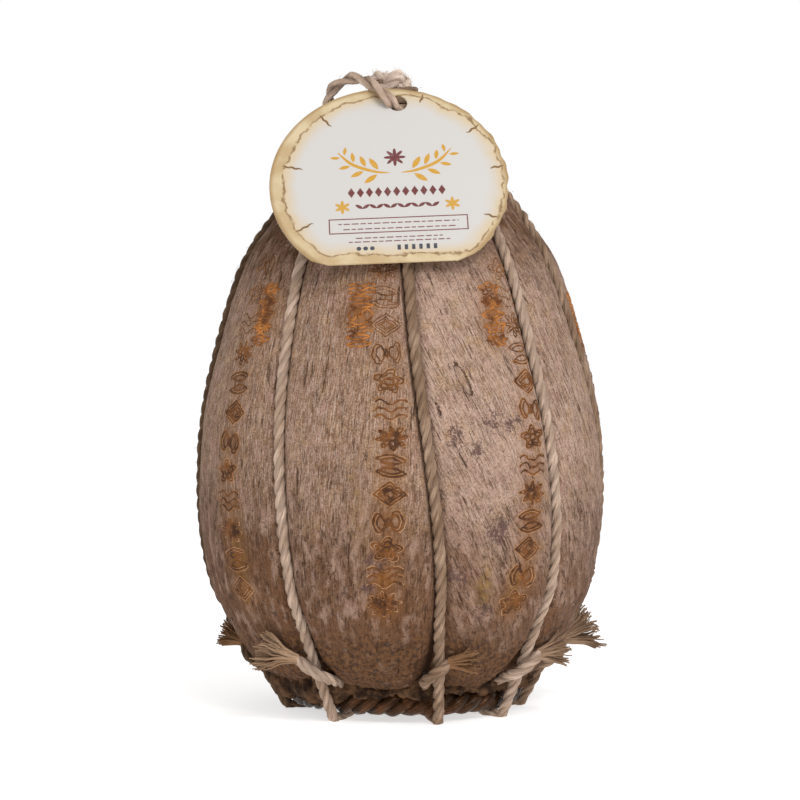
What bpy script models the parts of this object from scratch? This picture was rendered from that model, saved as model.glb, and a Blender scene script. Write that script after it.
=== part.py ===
# A whole corded provolone that stands on its rope ring, with a card tag.
#
# The cheese is one egg-shaped body. Eight cords run down its sides in grooves, so eight lobes
# bulge between them. At the foot each cord passes round a thick rope ring, comes back up beside
# itself and ends in a frayed tuft. At the top the cords stand together in a bound bundle, and a
# thin cord round that bundle carries the tag.
#
# Sizes are in millimetres and are scaled to metres at the end. The front is -Y and +Z is up.
# The origin is on the axis, at the level that the ring stands on. An azimuth of 0 is the front,
# and azimuths grow towards +X.
import math
import random

import bmesh
import bpy
import numpy as np
from mathutils import Matrix, Vector

# Cheese
# Rows of a lobe's outline from the top to the underside: radius, height, groove depth, and the
# groove's half width.
PROFILE = (
    (0.0, 254.5, 0.0, 3.0),
    (14.0, 253.0, 1.4, 3.2),
    (27.0, 246.8, 2.8, 3.6),
    (39.0, 236.2, 3.4, 4.2),
    (50.5, 222.6, 3.6, 4.8),
    (60.0, 210.5, 3.6, 5.0),
    (68.5, 197.0, 3.7, 5.0),
    (75.0, 180.0, 3.9, 5.0),
    (80.4, 162.0, 4.3, 5.0),
    (85.2, 144.5, 4.8, 5.0),
    (88.6, 126.0, 5.2, 5.0),
    (90.2, 104.0, 5.4, 5.0),
    (89.3, 80.0, 5.4, 5.0),
    (85.5, 58.0, 5.8, 5.4),
    (79.5, 44.0, 6.2, 6.2),
    (71.5, 30.5, 6.8, 8.0),
    (62.0, 20.3, 7.0, 9.2),
    (51.5, 14.9, 6.6, 9.8),
    (42.0, 14.1, 5.8, 9.4),
    (35.5, 14.0, 4.4, 9.0),
    (29.0, 11.4, 1.0, 6.0),
    (18.0, 8.4, 0.0, 5.0),
    (0.0, 7.6, 0.0, 5.0),
)
PROFILE_ROWS = 29
# Places of the mesh columns across one lobe, from one groove to the next, as shares of it
LOBE_STOPS = (0.0, 0.04, 0.1, 0.21, 0.4, 0.6, 0.79, 0.9, 0.96)
# A groove is a narrow trough inside a broad dip that reaches the middle of the lobes
NARROW_SHARE = 0.62
BROAD_POWER = 2.4

# Azimuth in degrees of each cord at the bundle, on the shoulder and at the foot
CORD_AZIMUTHS = (
    (-88.0, -84.0, -83.0),
    (-43.0, -38.0, -33.0),
    (2.0, 2.5, 12.5),
    (47.0, 42.0, 51.0),
    (92.0, 70.0, 91.0),
    (137.0, 124.0, 135.0),
    (182.0, 176.0, 181.0),
    (227.0, 228.0, 230.0),
)
# Heights between which a cord turns from one azimuth to the next
CROWN_HEIGHTS = (253.0, 195.0)
SIDE_HEIGHTS = (215.0, 30.0)

# Cords
CORD_RADIUS = 2.4
CORD_LIFT = 2.95
GAP = 0.3
FIRST_GROOVE_ROW = 2
LAST_GROOVE_HEIGHT = 36.0

# Bundle of the cords' upper ends
BUNDLE_RADIUS = 5.6
BUNDLE_SQUEEZE = 0.8
BUNDLE_BASE = 252.0
BUNDLE_TOP = 280.5
BUNDLE_LEAN = -5.0
# A cord's way down the bundle and out over the crown: radius, height, share of its thickness
BUNDLE_STATIONS = (
    (BUNDLE_RADIUS, BUNDLE_TOP, BUNDLE_SQUEEZE),
    (BUNDLE_RADIUS, 271.0, BUNDLE_SQUEEZE),
    (BUNDLE_RADIUS, 262.5, BUNDLE_SQUEEZE),
    (7.0, 258.4, BUNDLE_SQUEEZE),
    (12.0, 256.4, 0.9),
)

# Rope ring and the cords' wraps round it
RING_RADIUS = 46.5
RING_TUBE = 5.3
RING_HEIGHT = 8.4
RING_CENTRE_X = 2.0
# Angles of a wrap in the ring's section: 0 is outward, and it passes under the ring first
WRAP_ANGLES = (-36, -62, -90, -118, -148, -180, -210, -236, -260)
# Angles at which a wrap is pressed thin, with the share of the thickness that is left there
PRESSES = ((-90.0, 0.58), (-262.0, 0.62))
PRESSED_ARC = 38.0
WRAP_SHIFT = 2.9
SHIFT_ANGLES = (-90.0, -236.0)
# The way back up to the frayed end: radius, height, sideways shift towards the cord's side,
# share of the ring's offset, share of the thickness
RETURN_STATIONS = (
    (52.3, 16.3, -3.0, 0.9, 0.8),
    (58.3, 18.8, -3.6, 0.7, 0.95),
    (64.5, 20.6, -4.6, 0.5, 1.0),
    (69.6, 23.2, -2.6, 0.3, 1.0),
    (71.4, 26.0, 1.4, 0.2, 1.0),
    (71.4, 29.0, 5.2, 0.1, 1.0),
)

# Frayed ends: side of the cord, length, and direction as outward, sideways and up
TUFTS = (
    (-1, 13.0, (0.9, 0.3, 0.15)),
    (-1, 20.0, (0.6, 0.9, 0.25)),
    (1, 15.0, (0.6, 0.9, 0.15)),
    (1, 16.0, (0.6, 0.9, 0.1)),
    (1, 19.0, (0.95, 0.1, 0.3)),
    (1, 17.0, (0.6, 0.85, 0.15)),
    (-1, 19.0, (0.6, 0.9, 0.2)),
    (1, 15.0, (0.6, 0.85, 0.2)),
)
YARNS = 7
YARN_RADIUS = 1.5
FAN = 0.5
FLATNESS = 0.35
# A yarn's way along and across its tuft, as shares of its length, and its thickness there
YARN_STATIONS = ((-0.12, 0.06, 1.0), (0.12, 0.13, 1.0), (0.55, 0.5, 0.85), (1.0, 1.0, 0.45))
YARN_REACHES = (0.8, 1.0)
YARN_SPREADS = (0.35, 1.05)

# Binding turns round the bundle
BINDING_RADIUS = 1.7
BINDING_TURNS = 3
BINDING_STEP = 30
BINDING_PITCH = 3.9
BINDING_START = 263.0
BINDING_GAP = 0.7

# Tag
TAG_RADIUS = 50.0
TAG_THICKNESS = 1.3
TAG_CUT = 39.5
TAG_CENTRE = (-4.6, -54.0, 228.8)
TAG_TILT = math.radians(56.0)
TAG_ROLL = math.radians(2.8)
TAG_CORNER = 4.0
TAG_ARC_POINTS = 44
HOLE_RADIUS = 4.2
HOLE_PLACE = (5.7, 42.0)
HOLE_POINTS = 14

# Cord that carries the tag: a closed loop round the bundle and through the tag's hole
TAG_CORD_RADIUS = 2.3
TAG_CORD_ROUTE = (
    (-1.0, -30.4, 263.5),
    (-2.2, -34.0, 266.6),
    (-5.4, -32.6, 270.8),
    (-10.0, -27.5, 273.8),
    (-16.0, -21.0, 275.8),
    (-22.5, -14.5, 275.6),
    (-28.5, -8.0, 272.6),
    (-31.5, -1.5, 267.8),
    (-29.0, 6.0, 263.8),
    (-20.5, 12.0, 262.4),
    (-10.0, 15.6, 262.0),
    (1.0, 15.6, 262.0),
    (10.5, 10.4, 262.0),
    (13.8, 1.0, 262.2),
    (11.0, -10.0, 262.2),
    (6.0, -19.5, 261.8),
    (1.6, -26.4, 261.4),
)
TAG_CORD_POINTS = 36

MM = 0.001
WELD = 0.01 * MM
CURVE_STEPS = 12

RIND = (0.36, 0.25, 0.17)
TWINE = (0.42, 0.32, 0.22)
WAXED_ROPE = (0.09, 0.045, 0.02)
CARD = (0.78, 0.72, 0.60)


def clear_scene():
    """Remove whatever the scene holds, so that only the part is left."""
    for thing in list(bpy.data.objects):
        bpy.data.objects.remove(thing, do_unlink=True)


def make_material(name, colour, roughness):
    material = bpy.data.materials.new(name)
    material.use_nodes = True
    shader = material.node_tree.nodes["Principled BSDF"]
    shader.inputs["Base Color"].default_value = (*colour, 1.0)
    shader.inputs["Roughness"].default_value = roughness
    shader.inputs["Metallic"].default_value = 0.0
    return material


def smoothstep(start, end, value):
    share = min(max((value - start) / (end - start), 0.0), 1.0)
    return share * share * (3.0 - 2.0 * share)


def smooth_curve(points, count, space, closed=False):
    """Return count evenly spaced rows on a smooth curve through the given rows.

    The first space columns are places and set the spacing. The other columns follow along.
    """
    rows = np.array(points, dtype=float)
    if closed:
        knots = np.vstack([rows[-1], rows, rows[0], rows[1]])
    else:
        knots = np.vstack([2 * rows[0] - rows[1], rows, 2 * rows[-1] - rows[-2]])
    fine = []
    for a, b, c, d in zip(knots, knots[1:], knots[2:], knots[3:]):
        for s in np.arange(CURVE_STEPS) / CURVE_STEPS:
            square = 2 * a - 5 * b + 4 * c - d
            cube = 3 * b - a - 3 * c + d
            fine.append(0.5 * (2 * b + (c - a) * s + square * s ** 2 + cube * s ** 3))
    fine.append(knots[-2])
    fine = np.array(fine)
    steps = np.linalg.norm(np.diff(fine[:, :space], axis=0), axis=1)
    along = np.concatenate([[0.0], np.cumsum(steps)])
    stops = np.linspace(0.0, along[-1], count, endpoint=not closed)
    return np.stack([np.interp(stops, along, column) for column in fine.T], axis=1)


def profile_rows():
    """Rows of the lobe's outline with its outward normal: r, z, depth, width, nr, nz."""
    rows = smooth_curve(PROFILE, PROFILE_ROWS + 1, space=2)
    slope = np.gradient(rows[:, :2], axis=0)
    slope /= np.linalg.norm(slope, axis=1)[:, None]
    slope[0] = (1.0, 0.0)
    slope[-1] = (-1.0, 0.0)
    normals = np.stack([-slope[:, 1], slope[:, 0]], axis=1)
    return np.hstack([rows, normals])


def cord_azimuth(index, height):
    """Azimuth in radians of a cord's line at a height. An index past the last goes round."""
    turns, index = divmod(index, len(CORD_AZIMUTHS))
    crown, shoulder, foot = CORD_AZIMUTHS[index]
    azimuth = crown + (shoulder - crown) * smoothstep(*CROWN_HEIGHTS, height)
    azimuth += (foot - shoulder) * smoothstep(*SIDE_HEIGHTS, height)
    return math.radians(azimuth + 360.0 * turns)


def place(azimuth, radius, height, shift=0.0):
    """A point by azimuth, radius and height, moved sideways by shift."""
    out = Vector((math.sin(azimuth), -math.cos(azimuth), 0.0))
    side = Vector((math.cos(azimuth), math.sin(azimuth), 0.0))
    return out * radius + side * shift + Vector((0.0, 0.0, height))


def rind_point(row, lobe, share):
    """A point of the rind, at a share of the way across a lobe from its groove to the next."""
    radius, height, depth, width, out, up = row
    left = cord_azimuth(lobe, height)
    right = cord_azimuth(lobe + 1, height)
    nearest = min(share, 1.0 - share) * (right - left) * radius
    narrow = math.exp(-((nearest / width) ** 2))
    broad = abs(2.0 * share - 1.0) ** BROAD_POWER
    sink = depth * (NARROW_SHARE * narrow + (1.0 - NARROW_SHARE) * broad)
    azimuth = left + (right - left) * share
    return place(azimuth, max(radius - sink * out, 0.0), height - sink * up)


def finish(thing, material, parts):
    """Put an object in the part's collection with its material."""
    if thing.name not in parts.objects:
        parts.objects.link(thing)
    thing.data.materials.clear()
    thing.data.materials.append(material)
    return thing


def make_cheese(rows, material, parts):
    """Warp a sphere's grid so that its rows follow the outline and its columns the lobes."""
    columns = len(LOBE_STOPS) * len(CORD_AZIMUTHS)
    grid = bmesh.new()
    bmesh.ops.create_uvsphere(grid, u_segments=columns, v_segments=PROFILE_ROWS, radius=1.0)
    for vert in grid.verts:
        polar = math.acos(max(-1.0, min(1.0, vert.co.z)))
        row = rows[round(polar / math.pi * PROFILE_ROWS)]
        turn = math.atan2(vert.co.y, vert.co.x) / (2.0 * math.pi)
        lobe, stop = divmod(round(turn * columns) % columns, len(LOBE_STOPS))
        vert.co = rind_point(row, lobe, LOBE_STOPS[stop]) * MM
    mesh = bpy.data.meshes.new("cheese")
    grid.to_mesh(mesh)
    grid.free()
    mesh.shade_smooth()
    return finish(bpy.data.objects.new("cheese", mesh), material, parts)


def tube_mesh(name, points, radius, factors=None, resolution=2, closed=False):
    """A round tube along points, as a closed mesh. factors scale its radius point by point."""
    line = bpy.data.curves.new(name, "CURVE")
    line.dimensions = "3D"
    line.bevel_depth = radius * MM
    line.bevel_resolution = resolution
    line.use_fill_caps = True
    spline = line.splines.new("POLY")
    spline.points.add(len(points) - 1)
    spline.use_cyclic_u = closed
    for i, point in enumerate(points):
        spline.points[i].co = (*(Vector(point) * MM), 1.0)
        spline.points[i].radius = 1.0 if factors is None else factors[i]
    holder = bpy.data.objects.new(name, line)
    bpy.context.scene.collection.objects.link(holder)
    bpy.context.view_layer.update()
    evaluated = holder.evaluated_get(bpy.context.evaluated_depsgraph_get())
    mesh = bpy.data.meshes.new_from_object(evaluated)
    bpy.data.objects.remove(holder, do_unlink=True)
    weld = bmesh.new()
    weld.from_mesh(mesh)
    bmesh.ops.remove_doubles(weld, verts=weld.verts, dist=WELD)
    weld.to_mesh(mesh)
    weld.free()
    mesh.shade_smooth()
    return mesh


def bundle_axis(height):
    """Centre of the bundle at a height. The bundle leans to one side."""
    share = (height - BUNDLE_BASE) / (BUNDLE_TOP - BUNDLE_BASE)
    return Vector((BUNDLE_LEAN * max(share, 0.0), 0.0, 0.0))


def bundle_route(index):
    """A cord's way down the bundle and out over the crown, with its radius factors."""
    points = []
    for radius, height, factor in BUNDLE_STATIONS:
        point = place(cord_azimuth(index, BUNDLE_TOP), radius, height) + bundle_axis(height)
        points.append((*point, factor))
    return points


def groove_route(index, rows):
    """A cord's way down its groove, just clear of the rind."""
    points = []
    for row in rows[FIRST_GROOVE_ROW:]:
        radius, height, depth, width, out, up = row
        if height < LAST_GROOVE_HEIGHT:
            break
        lift = CORD_LIFT - depth
        spot = place(cord_azimuth(index, height), radius + lift * out, height + lift * up)
        points.append((*spot, 1.0))
    return points


def foot_route(index, side):
    """A cord's way round the ring and back up past itself to its frayed end."""
    azimuth = cord_azimuth(index, 0.0)
    centre = Vector((RING_CENTRE_X, 0.0, 0.0))
    points = []
    for angle in WRAP_ANGLES:
        factor = 1.0
        for middle, left in PRESSES:
            factor -= (1.0 - left) * math.exp(-((angle - middle) / PRESSED_ARC) ** 2)
        reach = RING_TUBE + GAP + CORD_RADIUS * factor
        radius = RING_RADIUS + reach * math.cos(math.radians(angle))
        height = RING_HEIGHT + reach * math.sin(math.radians(angle))
        shift = side * WRAP_SHIFT * (1.0 - 2.0 * smoothstep(*SHIFT_ANGLES, angle))
        points.append((*(place(azimuth, radius, height, shift) + centre), factor))
    for radius, height, shift, share, factor in RETURN_STATIONS:
        spot = place(azimuth, radius, height, side * shift) + centre * share
        points.append((*spot, factor))
    return points


def tuft_meshes(index, root):
    """Tapered yarns that fan out from a cord's end."""
    side, length, direction = TUFTS[index]
    azimuth = cord_azimuth(index, 0.0)
    ahead = place(azimuth, direction[0], direction[2], side * direction[1]).normalized()
    across = ahead.cross(Vector((0.0, 0.0, 1.0))).normalized()
    above = across.cross(ahead)
    chance = random.Random(index)
    meshes = []
    for yarn in range(YARNS):
        turn = 2.0 * math.pi * yarn / YARNS
        spread = FAN * chance.uniform(*YARN_SPREADS)
        sway = across * (FLATNESS * spread * math.cos(turn)) + above * (spread * math.sin(turn))
        reach = length * chance.uniform(*YARN_REACHES)
        points = []
        for share, swing, _ in YARN_STATIONS:
            points.append(root + ahead * (share * reach) + sway * (swing * reach))
        factors = [station[2] for station in YARN_STATIONS]
        meshes.append(tube_mesh("yarn", points, YARN_RADIUS, factors, resolution=0))
    return meshes


def join_meshes(name, body, others):
    """Fuse meshes into one closed body with a Boolean union on a collection."""
    extras = bpy.data.collections.new(name + "_yarns")
    bpy.context.scene.collection.children.link(extras)
    for mesh in others:
        extras.objects.link(bpy.data.objects.new("yarn", mesh))
    core = bpy.data.objects.new(name + "_core", body)
    bpy.context.scene.collection.objects.link(core)
    union = core.modifiers.new("union", "BOOLEAN")
    union.operation = "UNION"
    union.operand_type = "COLLECTION"
    union.collection = extras
    bpy.context.view_layer.update()
    evaluated = core.evaluated_get(bpy.context.evaluated_depsgraph_get())
    joined = bpy.data.meshes.new_from_object(evaluated)
    for thing in [core, *extras.objects]:
        bpy.data.objects.remove(thing, do_unlink=True)
    bpy.data.collections.remove(extras)
    return bpy.data.objects.new(name, joined)


def make_cord(index, rows, material, parts):
    """One cord from the bundle to its frayed end, as one solid."""
    name = "cord_" + str(index + 1)
    side = TUFTS[index][0]
    way = bundle_route(index) + groove_route(index, rows) + foot_route(index, side)
    points = [row[:3] for row in way]
    factors = [row[3] for row in way]
    body = tube_mesh(name, points, CORD_RADIUS, factors)
    yarns = tuft_meshes(index, Vector(points[-1]))
    return finish(join_meshes(name, body, yarns), material, parts)


def make_ring(material, parts):
    """The rope ring that the cheese stands on."""
    bpy.ops.mesh.primitive_torus_add(
        major_segments=40,
        minor_segments=9,
        major_radius=RING_RADIUS * MM,
        minor_radius=RING_TUBE * MM,
        location=(RING_CENTRE_X * MM, 0.0, RING_HEIGHT * MM),
    )
    ring = bpy.context.object
    ring.name = "base_ring"
    ring.data.name = "base_ring"
    ring.data.shade_smooth()
    for owner in list(ring.users_collection):
        owner.objects.unlink(ring)
    return finish(ring, material, parts)


def make_binding(material, parts):
    """Turns of cord that hold the bundle together."""
    reach = BUNDLE_RADIUS + CORD_RADIUS * BUNDLE_SQUEEZE + BINDING_GAP + BINDING_RADIUS
    points = []
    for angle in range(0, 360 * BINDING_TURNS + 1, BINDING_STEP):
        height = BINDING_START + BINDING_PITCH * angle / 360.0
        points.append(place(math.radians(angle), reach, height) + bundle_axis(height))
    mesh = tube_mesh("binding", points, BINDING_RADIUS)
    return finish(bpy.data.objects.new("binding", mesh), material, parts)


def tag_outline():
    """The card's outline: a circle with a straight cut across its foot and eased corners."""
    half = math.sqrt(TAG_RADIUS ** 2 - TAG_CUT ** 2)
    start = math.atan2(-TAG_CUT, half) + TAG_CORNER / TAG_RADIUS
    sweep = math.pi - 2.0 * start
    points = [(half - TAG_CORNER, -TAG_CUT)]
    for step in range(TAG_ARC_POINTS):
        angle = start + sweep * step / (TAG_ARC_POINTS - 1)
        points.append((TAG_RADIUS * math.cos(angle), TAG_RADIUS * math.sin(angle)))
    points.append((-half + TAG_CORNER, -TAG_CUT))
    return points


def hole_outline():
    points = []
    for step in range(HOLE_POINTS):
        angle = -2.0 * math.pi * step / HOLE_POINTS
        across = HOLE_PLACE[0] + HOLE_RADIUS * math.cos(angle)
        points.append((across, HOLE_PLACE[1] + HOLE_RADIUS * math.sin(angle)))
    return points


def make_tag(material, parts):
    """The card, leaning back against the shoulder of the cheese."""
    card = bpy.data.curves.new("tag", "CURVE")
    card.dimensions = "2D"
    card.fill_mode = "BOTH"
    card.extrude = 0.5 * TAG_THICKNESS * MM
    for outline in (tag_outline(), hole_outline()):
        spline = card.splines.new("POLY")
        spline.points.add(len(outline) - 1)
        spline.use_cyclic_u = True
        for i, (across, along) in enumerate(outline):
            spline.points[i].co = (across * MM, along * MM, 0.0, 1.0)
    tag = bpy.data.objects.new("tag", card)
    tilt = Matrix.Rotation(TAG_TILT, 4, "X") @ Matrix.Rotation(TAG_ROLL, 4, "Z")
    tag.matrix_world = Matrix.Translation(Vector(TAG_CENTRE) * MM) @ tilt
    return finish(tag, material, parts)


def make_tag_cord(material, parts):
    """The loop of cord that the tag hangs on."""
    points = smooth_curve(TAG_CORD_ROUTE, TAG_CORD_POINTS, space=3, closed=True)
    mesh = tube_mesh("tag_cord", [tuple(p) for p in points], TAG_CORD_RADIUS, closed=True)
    return finish(bpy.data.objects.new("tag_cord", mesh), material, parts)


def build():
    clear_scene()
    parts = bpy.data.collections.new("provolone")
    bpy.context.scene.collection.children.link(parts)
    rind = make_material("rind", RIND, 0.8)
    twine = make_material("twine", TWINE, 0.9)
    waxed = make_material("waxed_rope", WAXED_ROPE, 0.3)
    card = make_material("card", CARD, 0.6)
    rows = profile_rows()
    make_cheese(rows, rind, parts)
    make_ring(waxed, parts)
    for index in range(len(CORD_AZIMUTHS)):
        make_cord(index, rows, twine, parts)
    make_binding(twine, parts)
    make_tag(card, parts)
    make_tag_cord(twine, parts)


build()
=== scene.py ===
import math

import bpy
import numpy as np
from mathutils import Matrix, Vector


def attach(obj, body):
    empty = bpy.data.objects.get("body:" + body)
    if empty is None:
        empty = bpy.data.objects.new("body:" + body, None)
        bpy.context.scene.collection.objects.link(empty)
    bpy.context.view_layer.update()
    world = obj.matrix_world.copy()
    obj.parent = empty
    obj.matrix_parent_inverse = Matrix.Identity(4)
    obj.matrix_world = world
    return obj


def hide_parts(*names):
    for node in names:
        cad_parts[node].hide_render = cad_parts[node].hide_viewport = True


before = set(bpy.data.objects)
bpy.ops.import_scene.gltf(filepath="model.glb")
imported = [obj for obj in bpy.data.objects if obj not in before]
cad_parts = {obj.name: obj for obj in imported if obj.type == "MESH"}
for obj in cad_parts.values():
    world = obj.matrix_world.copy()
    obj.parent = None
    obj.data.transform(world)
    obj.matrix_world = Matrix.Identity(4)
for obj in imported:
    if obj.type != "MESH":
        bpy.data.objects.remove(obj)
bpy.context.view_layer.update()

# %% [markdown]
# # A whole corded provolone
#
# A ripe cheese hangs for months in eight cords, so its soft sides bulge between them and its
# rind grows dry, streaked and mottled. The solids of the frame give the plain form. This lesson
# dresses them: first the rind, then the marks pressed into it, the twisted cords with their
# frayed ends, the greasy rope ring and the card tag.
#
# Sizes are in millimetres and are scaled to metres where a mesh is made. The front is -Y. An
# azimuth of 0 is the front, and azimuths grow towards +X.

MM = 0.001
TAU = 2.0 * math.pi


def set_out(name, data):
    """A new object in the scene."""
    holder = bpy.data.objects.new(name, data)
    bpy.context.scene.collection.objects.link(holder)
    return holder


# %% [markdown]
# ## Camera
#
# The photograph was taken from a little above the middle of the cheese with a long lens, which
# keeps the sides nearly parallel. A lens of about 120 mm from 1.2 m away gives the same picture.

# %% Camera
CAMERA_PLACE = Vector((0.0, -1.2, 0.19))
CAMERA_AIM = Vector((0.0, 0.0, 0.1358))
LENS = 122.6


def set_camera():
    camera = bpy.data.cameras.new("camera")
    camera.lens = LENS
    camera.sensor_width = 36.0
    holder = set_out("camera", camera)
    holder.location = CAMERA_PLACE
    holder.rotation_euler = (CAMERA_AIM - CAMERA_PLACE).to_track_quat("-Z", "Y").to_euler()
    bpy.context.scene.camera = holder


set_camera()
print("camera at", tuple(CAMERA_PLACE))

# %% [markdown]
# ## Soft studio light
#
# The cheese stands in a white light tent, so there are hardly any hard shadows. A white world
# fills from all round, and one large lamp from the upper right makes the right side brighter. A
# small bright lamp beside it puts the sparkle on the greasy ring. The backdrop is brighter than
# the light that it throws, so it reads as clean white paper. The view transform is the plain one,
# because filmic curves would grey the white card.

# %% Light and floor
# Place, size in metres and power of each lamp
LAMPS = {
    "key": ((0.42, -1.05, 0.95), 0.7, 8.0),
    "fill": ((-0.7, -0.8, 0.35), 0.8, 0.5),
    "spark": ((0.35, -0.9, 0.75), 0.1, 1.7),
}
LAMP_AIM = Vector((0.0, 0.0, 0.13))
SKY = 0.55
FLOOR_GLOW = 0.62
FLOOR_REACH = 6.0


def hang_lamp(name, place, size, power):
    lamp = bpy.data.lights.new(name, "AREA")
    lamp.size = size
    lamp.energy = power
    holder = set_out(name, lamp)
    holder.location = place
    holder.rotation_euler = (LAMP_AIM - Vector(place)).to_track_quat("-Z", "Y").to_euler()


def light_the_tent():
    world = bpy.data.worlds.new("tent")
    world.use_nodes = True
    tree = world.node_tree
    background = tree.nodes["Background"]
    background.inputs["Color"].default_value = (1.0, 1.0, 1.0, 1.0)
    ray = tree.nodes.new("ShaderNodeLightPath").outputs["Is Camera Ray"]
    strength = tree.nodes.new("ShaderNodeMapRange")
    strength.inputs["To Min"].default_value = SKY
    tree.links.new(ray, strength.inputs["Value"])
    tree.links.new(strength.outputs[0], background.inputs["Strength"])
    bpy.context.scene.world = world
    bpy.context.scene.view_settings.view_transform = "Standard"
    for name, lamp in LAMPS.items():
        hang_lamp(name, *lamp)


def lay_floor():
    mesh = bpy.data.meshes.new("floor")
    corners = [(-1, -1), (1, -1), (1, 1), (-1, 1)]
    mesh.from_pydata([(x * FLOOR_REACH, y * FLOOR_REACH, 0.0) for x, y in corners], [], [(0, 1, 2, 3)])
    floor = set_out("floor", mesh)
    paper = bpy.data.materials.new("white_paper")
    paper.use_nodes = True
    shader = paper.node_tree.nodes["Principled BSDF"]
    shader.inputs["Base Color"].default_value = (0.8, 0.8, 0.8, 1.0)
    shader.inputs["Roughness"].default_value = 0.9
    shader.inputs["Emission Color"].default_value = (1.0, 1.0, 1.0, 1.0)
    shader.inputs["Emission Strength"].default_value = FLOOR_GLOW
    mesh.materials.append(paper)


light_the_tent()
lay_floor()
print("lit by a white tent, a key lamp, a fill lamp and a small bright one")

# %% [markdown]
# ## Small helpers for node trees
#
# Every tree below is made in code. `add` puts one node into the tree that was begun last and fills
# its inputs, each with a number or with another node's output. An output is a `Value`, so that
# sums can be written as sums.

# %% Helpers for node trees
# The kind of an input whose default is a plain number
KINDS = {float: "Float", int: "Int"}
# The trees begun so far. Each new node goes into the last one.
TREES = []


class Value:
    """What comes out of a node. A sum with it is a Math node."""

    def __init__(self, socket):
        self.socket = socket

    def __add__(self, other):
        return reckon("ADD", self, other)

    def __sub__(self, other):
        return reckon("SUBTRACT", self, other)

    def __rsub__(self, other):
        return reckon("SUBTRACT", other, self)

    def __mul__(self, other):
        return reckon("MULTIPLY", self, other)

    def __truediv__(self, other):
        return reckon("DIVIDE", self, other)

    def __rtruediv__(self, other):
        return reckon("DIVIDE", other, self)

    def __pow__(self, other):
        return reckon("POWER", self, other)


class Node:
    """A node, with its outputs by name or by number."""

    def __init__(self, node):
        self.node = node

    def __getitem__(self, key):
        return Value(self.node.outputs[key])


def lead(value, node, key):
    """Lead a value into a node of the tree begun last."""
    TREES[-1].links.new(value.socket, node.inputs[key])


def add(kind, wires=None, **settings):
    """Add a node, set it up and fill its inputs."""
    node = TREES[-1].nodes.new(kind)
    for setting, value in settings.items():
        setattr(node, setting, value)
    for key, value in (wires or {}).items():
        if isinstance(value, Value):
            lead(value, node, key)
        else:
            node.inputs[key].default_value = value
    return Node(node)


def start_tree(name, inputs, kind="GeometryNodeTree", result="Geometry"):
    """Begin a node group. An input is given by its default number, or by its kind."""
    tree = bpy.data.node_groups.new(name, kind)
    TREES.append(tree)
    for label, value in inputs.items():
        socket = KINDS.get(type(value), value)
        made = tree.interface.new_socket(label, in_out="INPUT", socket_type="NodeSocket" + socket)
        if socket != value:
            made.default_value = value
    tree.interface.new_socket(result, in_out="OUTPUT", socket_type="NodeSocket" + result)
    return add("NodeGroupInput")


def end_tree(value):
    lead(value, add("NodeGroupOutput").node, 0)
    return TREES[-1]


def reckon(operation, *values):
    return add("ShaderNodeMath", dict(enumerate(values)), operation=operation)[0]


def vectors(operation, *values):
    return add("ShaderNodeVectorMath", dict(enumerate(values)), operation=operation)[0]


def dot(first, second):
    return add("ShaderNodeVectorMath", {0: first, 1: second}, operation="DOT_PRODUCT")["Value"]


def scaled(vector, factor):
    return add("ShaderNodeVectorMath", {0: vector, "Scale": factor}, operation="SCALE")[0]


def combined(x, y, z):
    return add("ShaderNodeCombineXYZ", {0: x, 1: y, 2: z})[0]


def ramp(value, start, end, low=0.0, high=1.0):
    """A smooth change from low to high while value goes from start to end."""
    wires = {"Value": value, "From Min": start, "From Max": end, "To Min": low, "To Max": high}
    return add("ShaderNodeMapRange", wires, interpolation_type="SMOOTHSTEP")[0]


def noise(vector, fineness, detail=3.0, roughness=0.55):
    wires = {"Vector": vector, "Scale": fineness, "Detail": detail, "Roughness": roughness}
    return add("ShaderNodeTexNoise", wires)[0]


def streaks(vector, fineness, stretch, start, end):
    """A mask of short streaks along the vector's third direction."""
    squeezed = vectors("MULTIPLY", vector, combined(1.0, 1.0, stretch))
    return ramp(noise(squeezed, fineness, 2.0), start, end)


print("number inputs:", sorted(KINDS.values()))

# %% [markdown]
# ## Small helpers for shapes
#
# Shapes need a few more helpers. Each adds one node of a Geometry Nodes tree, or two that always
# come together. `end_form` ends every such tree, `grow` runs it on an object and keeps the result
# as a plain mesh, and `keep` hands the finished piece over.

# %% Helpers for shapes
def here():
    """The place of each point."""
    return add("GeometryNodeInputPosition")[0]


def outward():
    """The normal at each point."""
    return add("GeometryNodeInputNormal")[0]


def form_of(holder):
    return add("GeometryNodeObjectInfo", {"Object": holder})["Geometry"]


def named(name, kind="FLOAT"):
    return add("GeometryNodeInputNamedAttribute", {"Name": name}, data_type=kind)["Attribute"]


def noted(form, name, value, kind="FLOAT"):
    """Keep a value on each point of a form under a name, for the finish to read."""
    wires = {"Geometry": form, "Name": name, "Value": value}
    return add("GeometryNodeStoreNamedAttribute", wires, data_type=kind, domain="POINT")[0]


def shifted(form, **wires):
    return add("GeometryNodeSetPosition", {"Geometry": form, **wires})[0]


def evenly(curve, step):
    return add("GeometryNodeResampleCurve", {"Curve": curve, "Length": step}, mode="LENGTH")[0]


def copied(curve, count):
    wires = {"Geometry": curve, "Amount": count}
    return add("GeometryNodeDuplicateElements", wires, domain="SPLINE")


def circle(sides, radius=1.0):
    return add("GeometryNodeCurvePrimitiveCircle", {"Resolution": sides, "Radius": radius})[0]


def sweep(curve, section, scale, caps=True):
    wires = {"Curve": curve, "Profile Curve": section, "Scale": scale, "Fill Caps": caps}
    return add("GeometryNodeCurveToMesh", wires)[0]


def smoothed(form):
    return add("GeometryNodeSetShadeSmooth", {"Geometry": form})[0]


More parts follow.
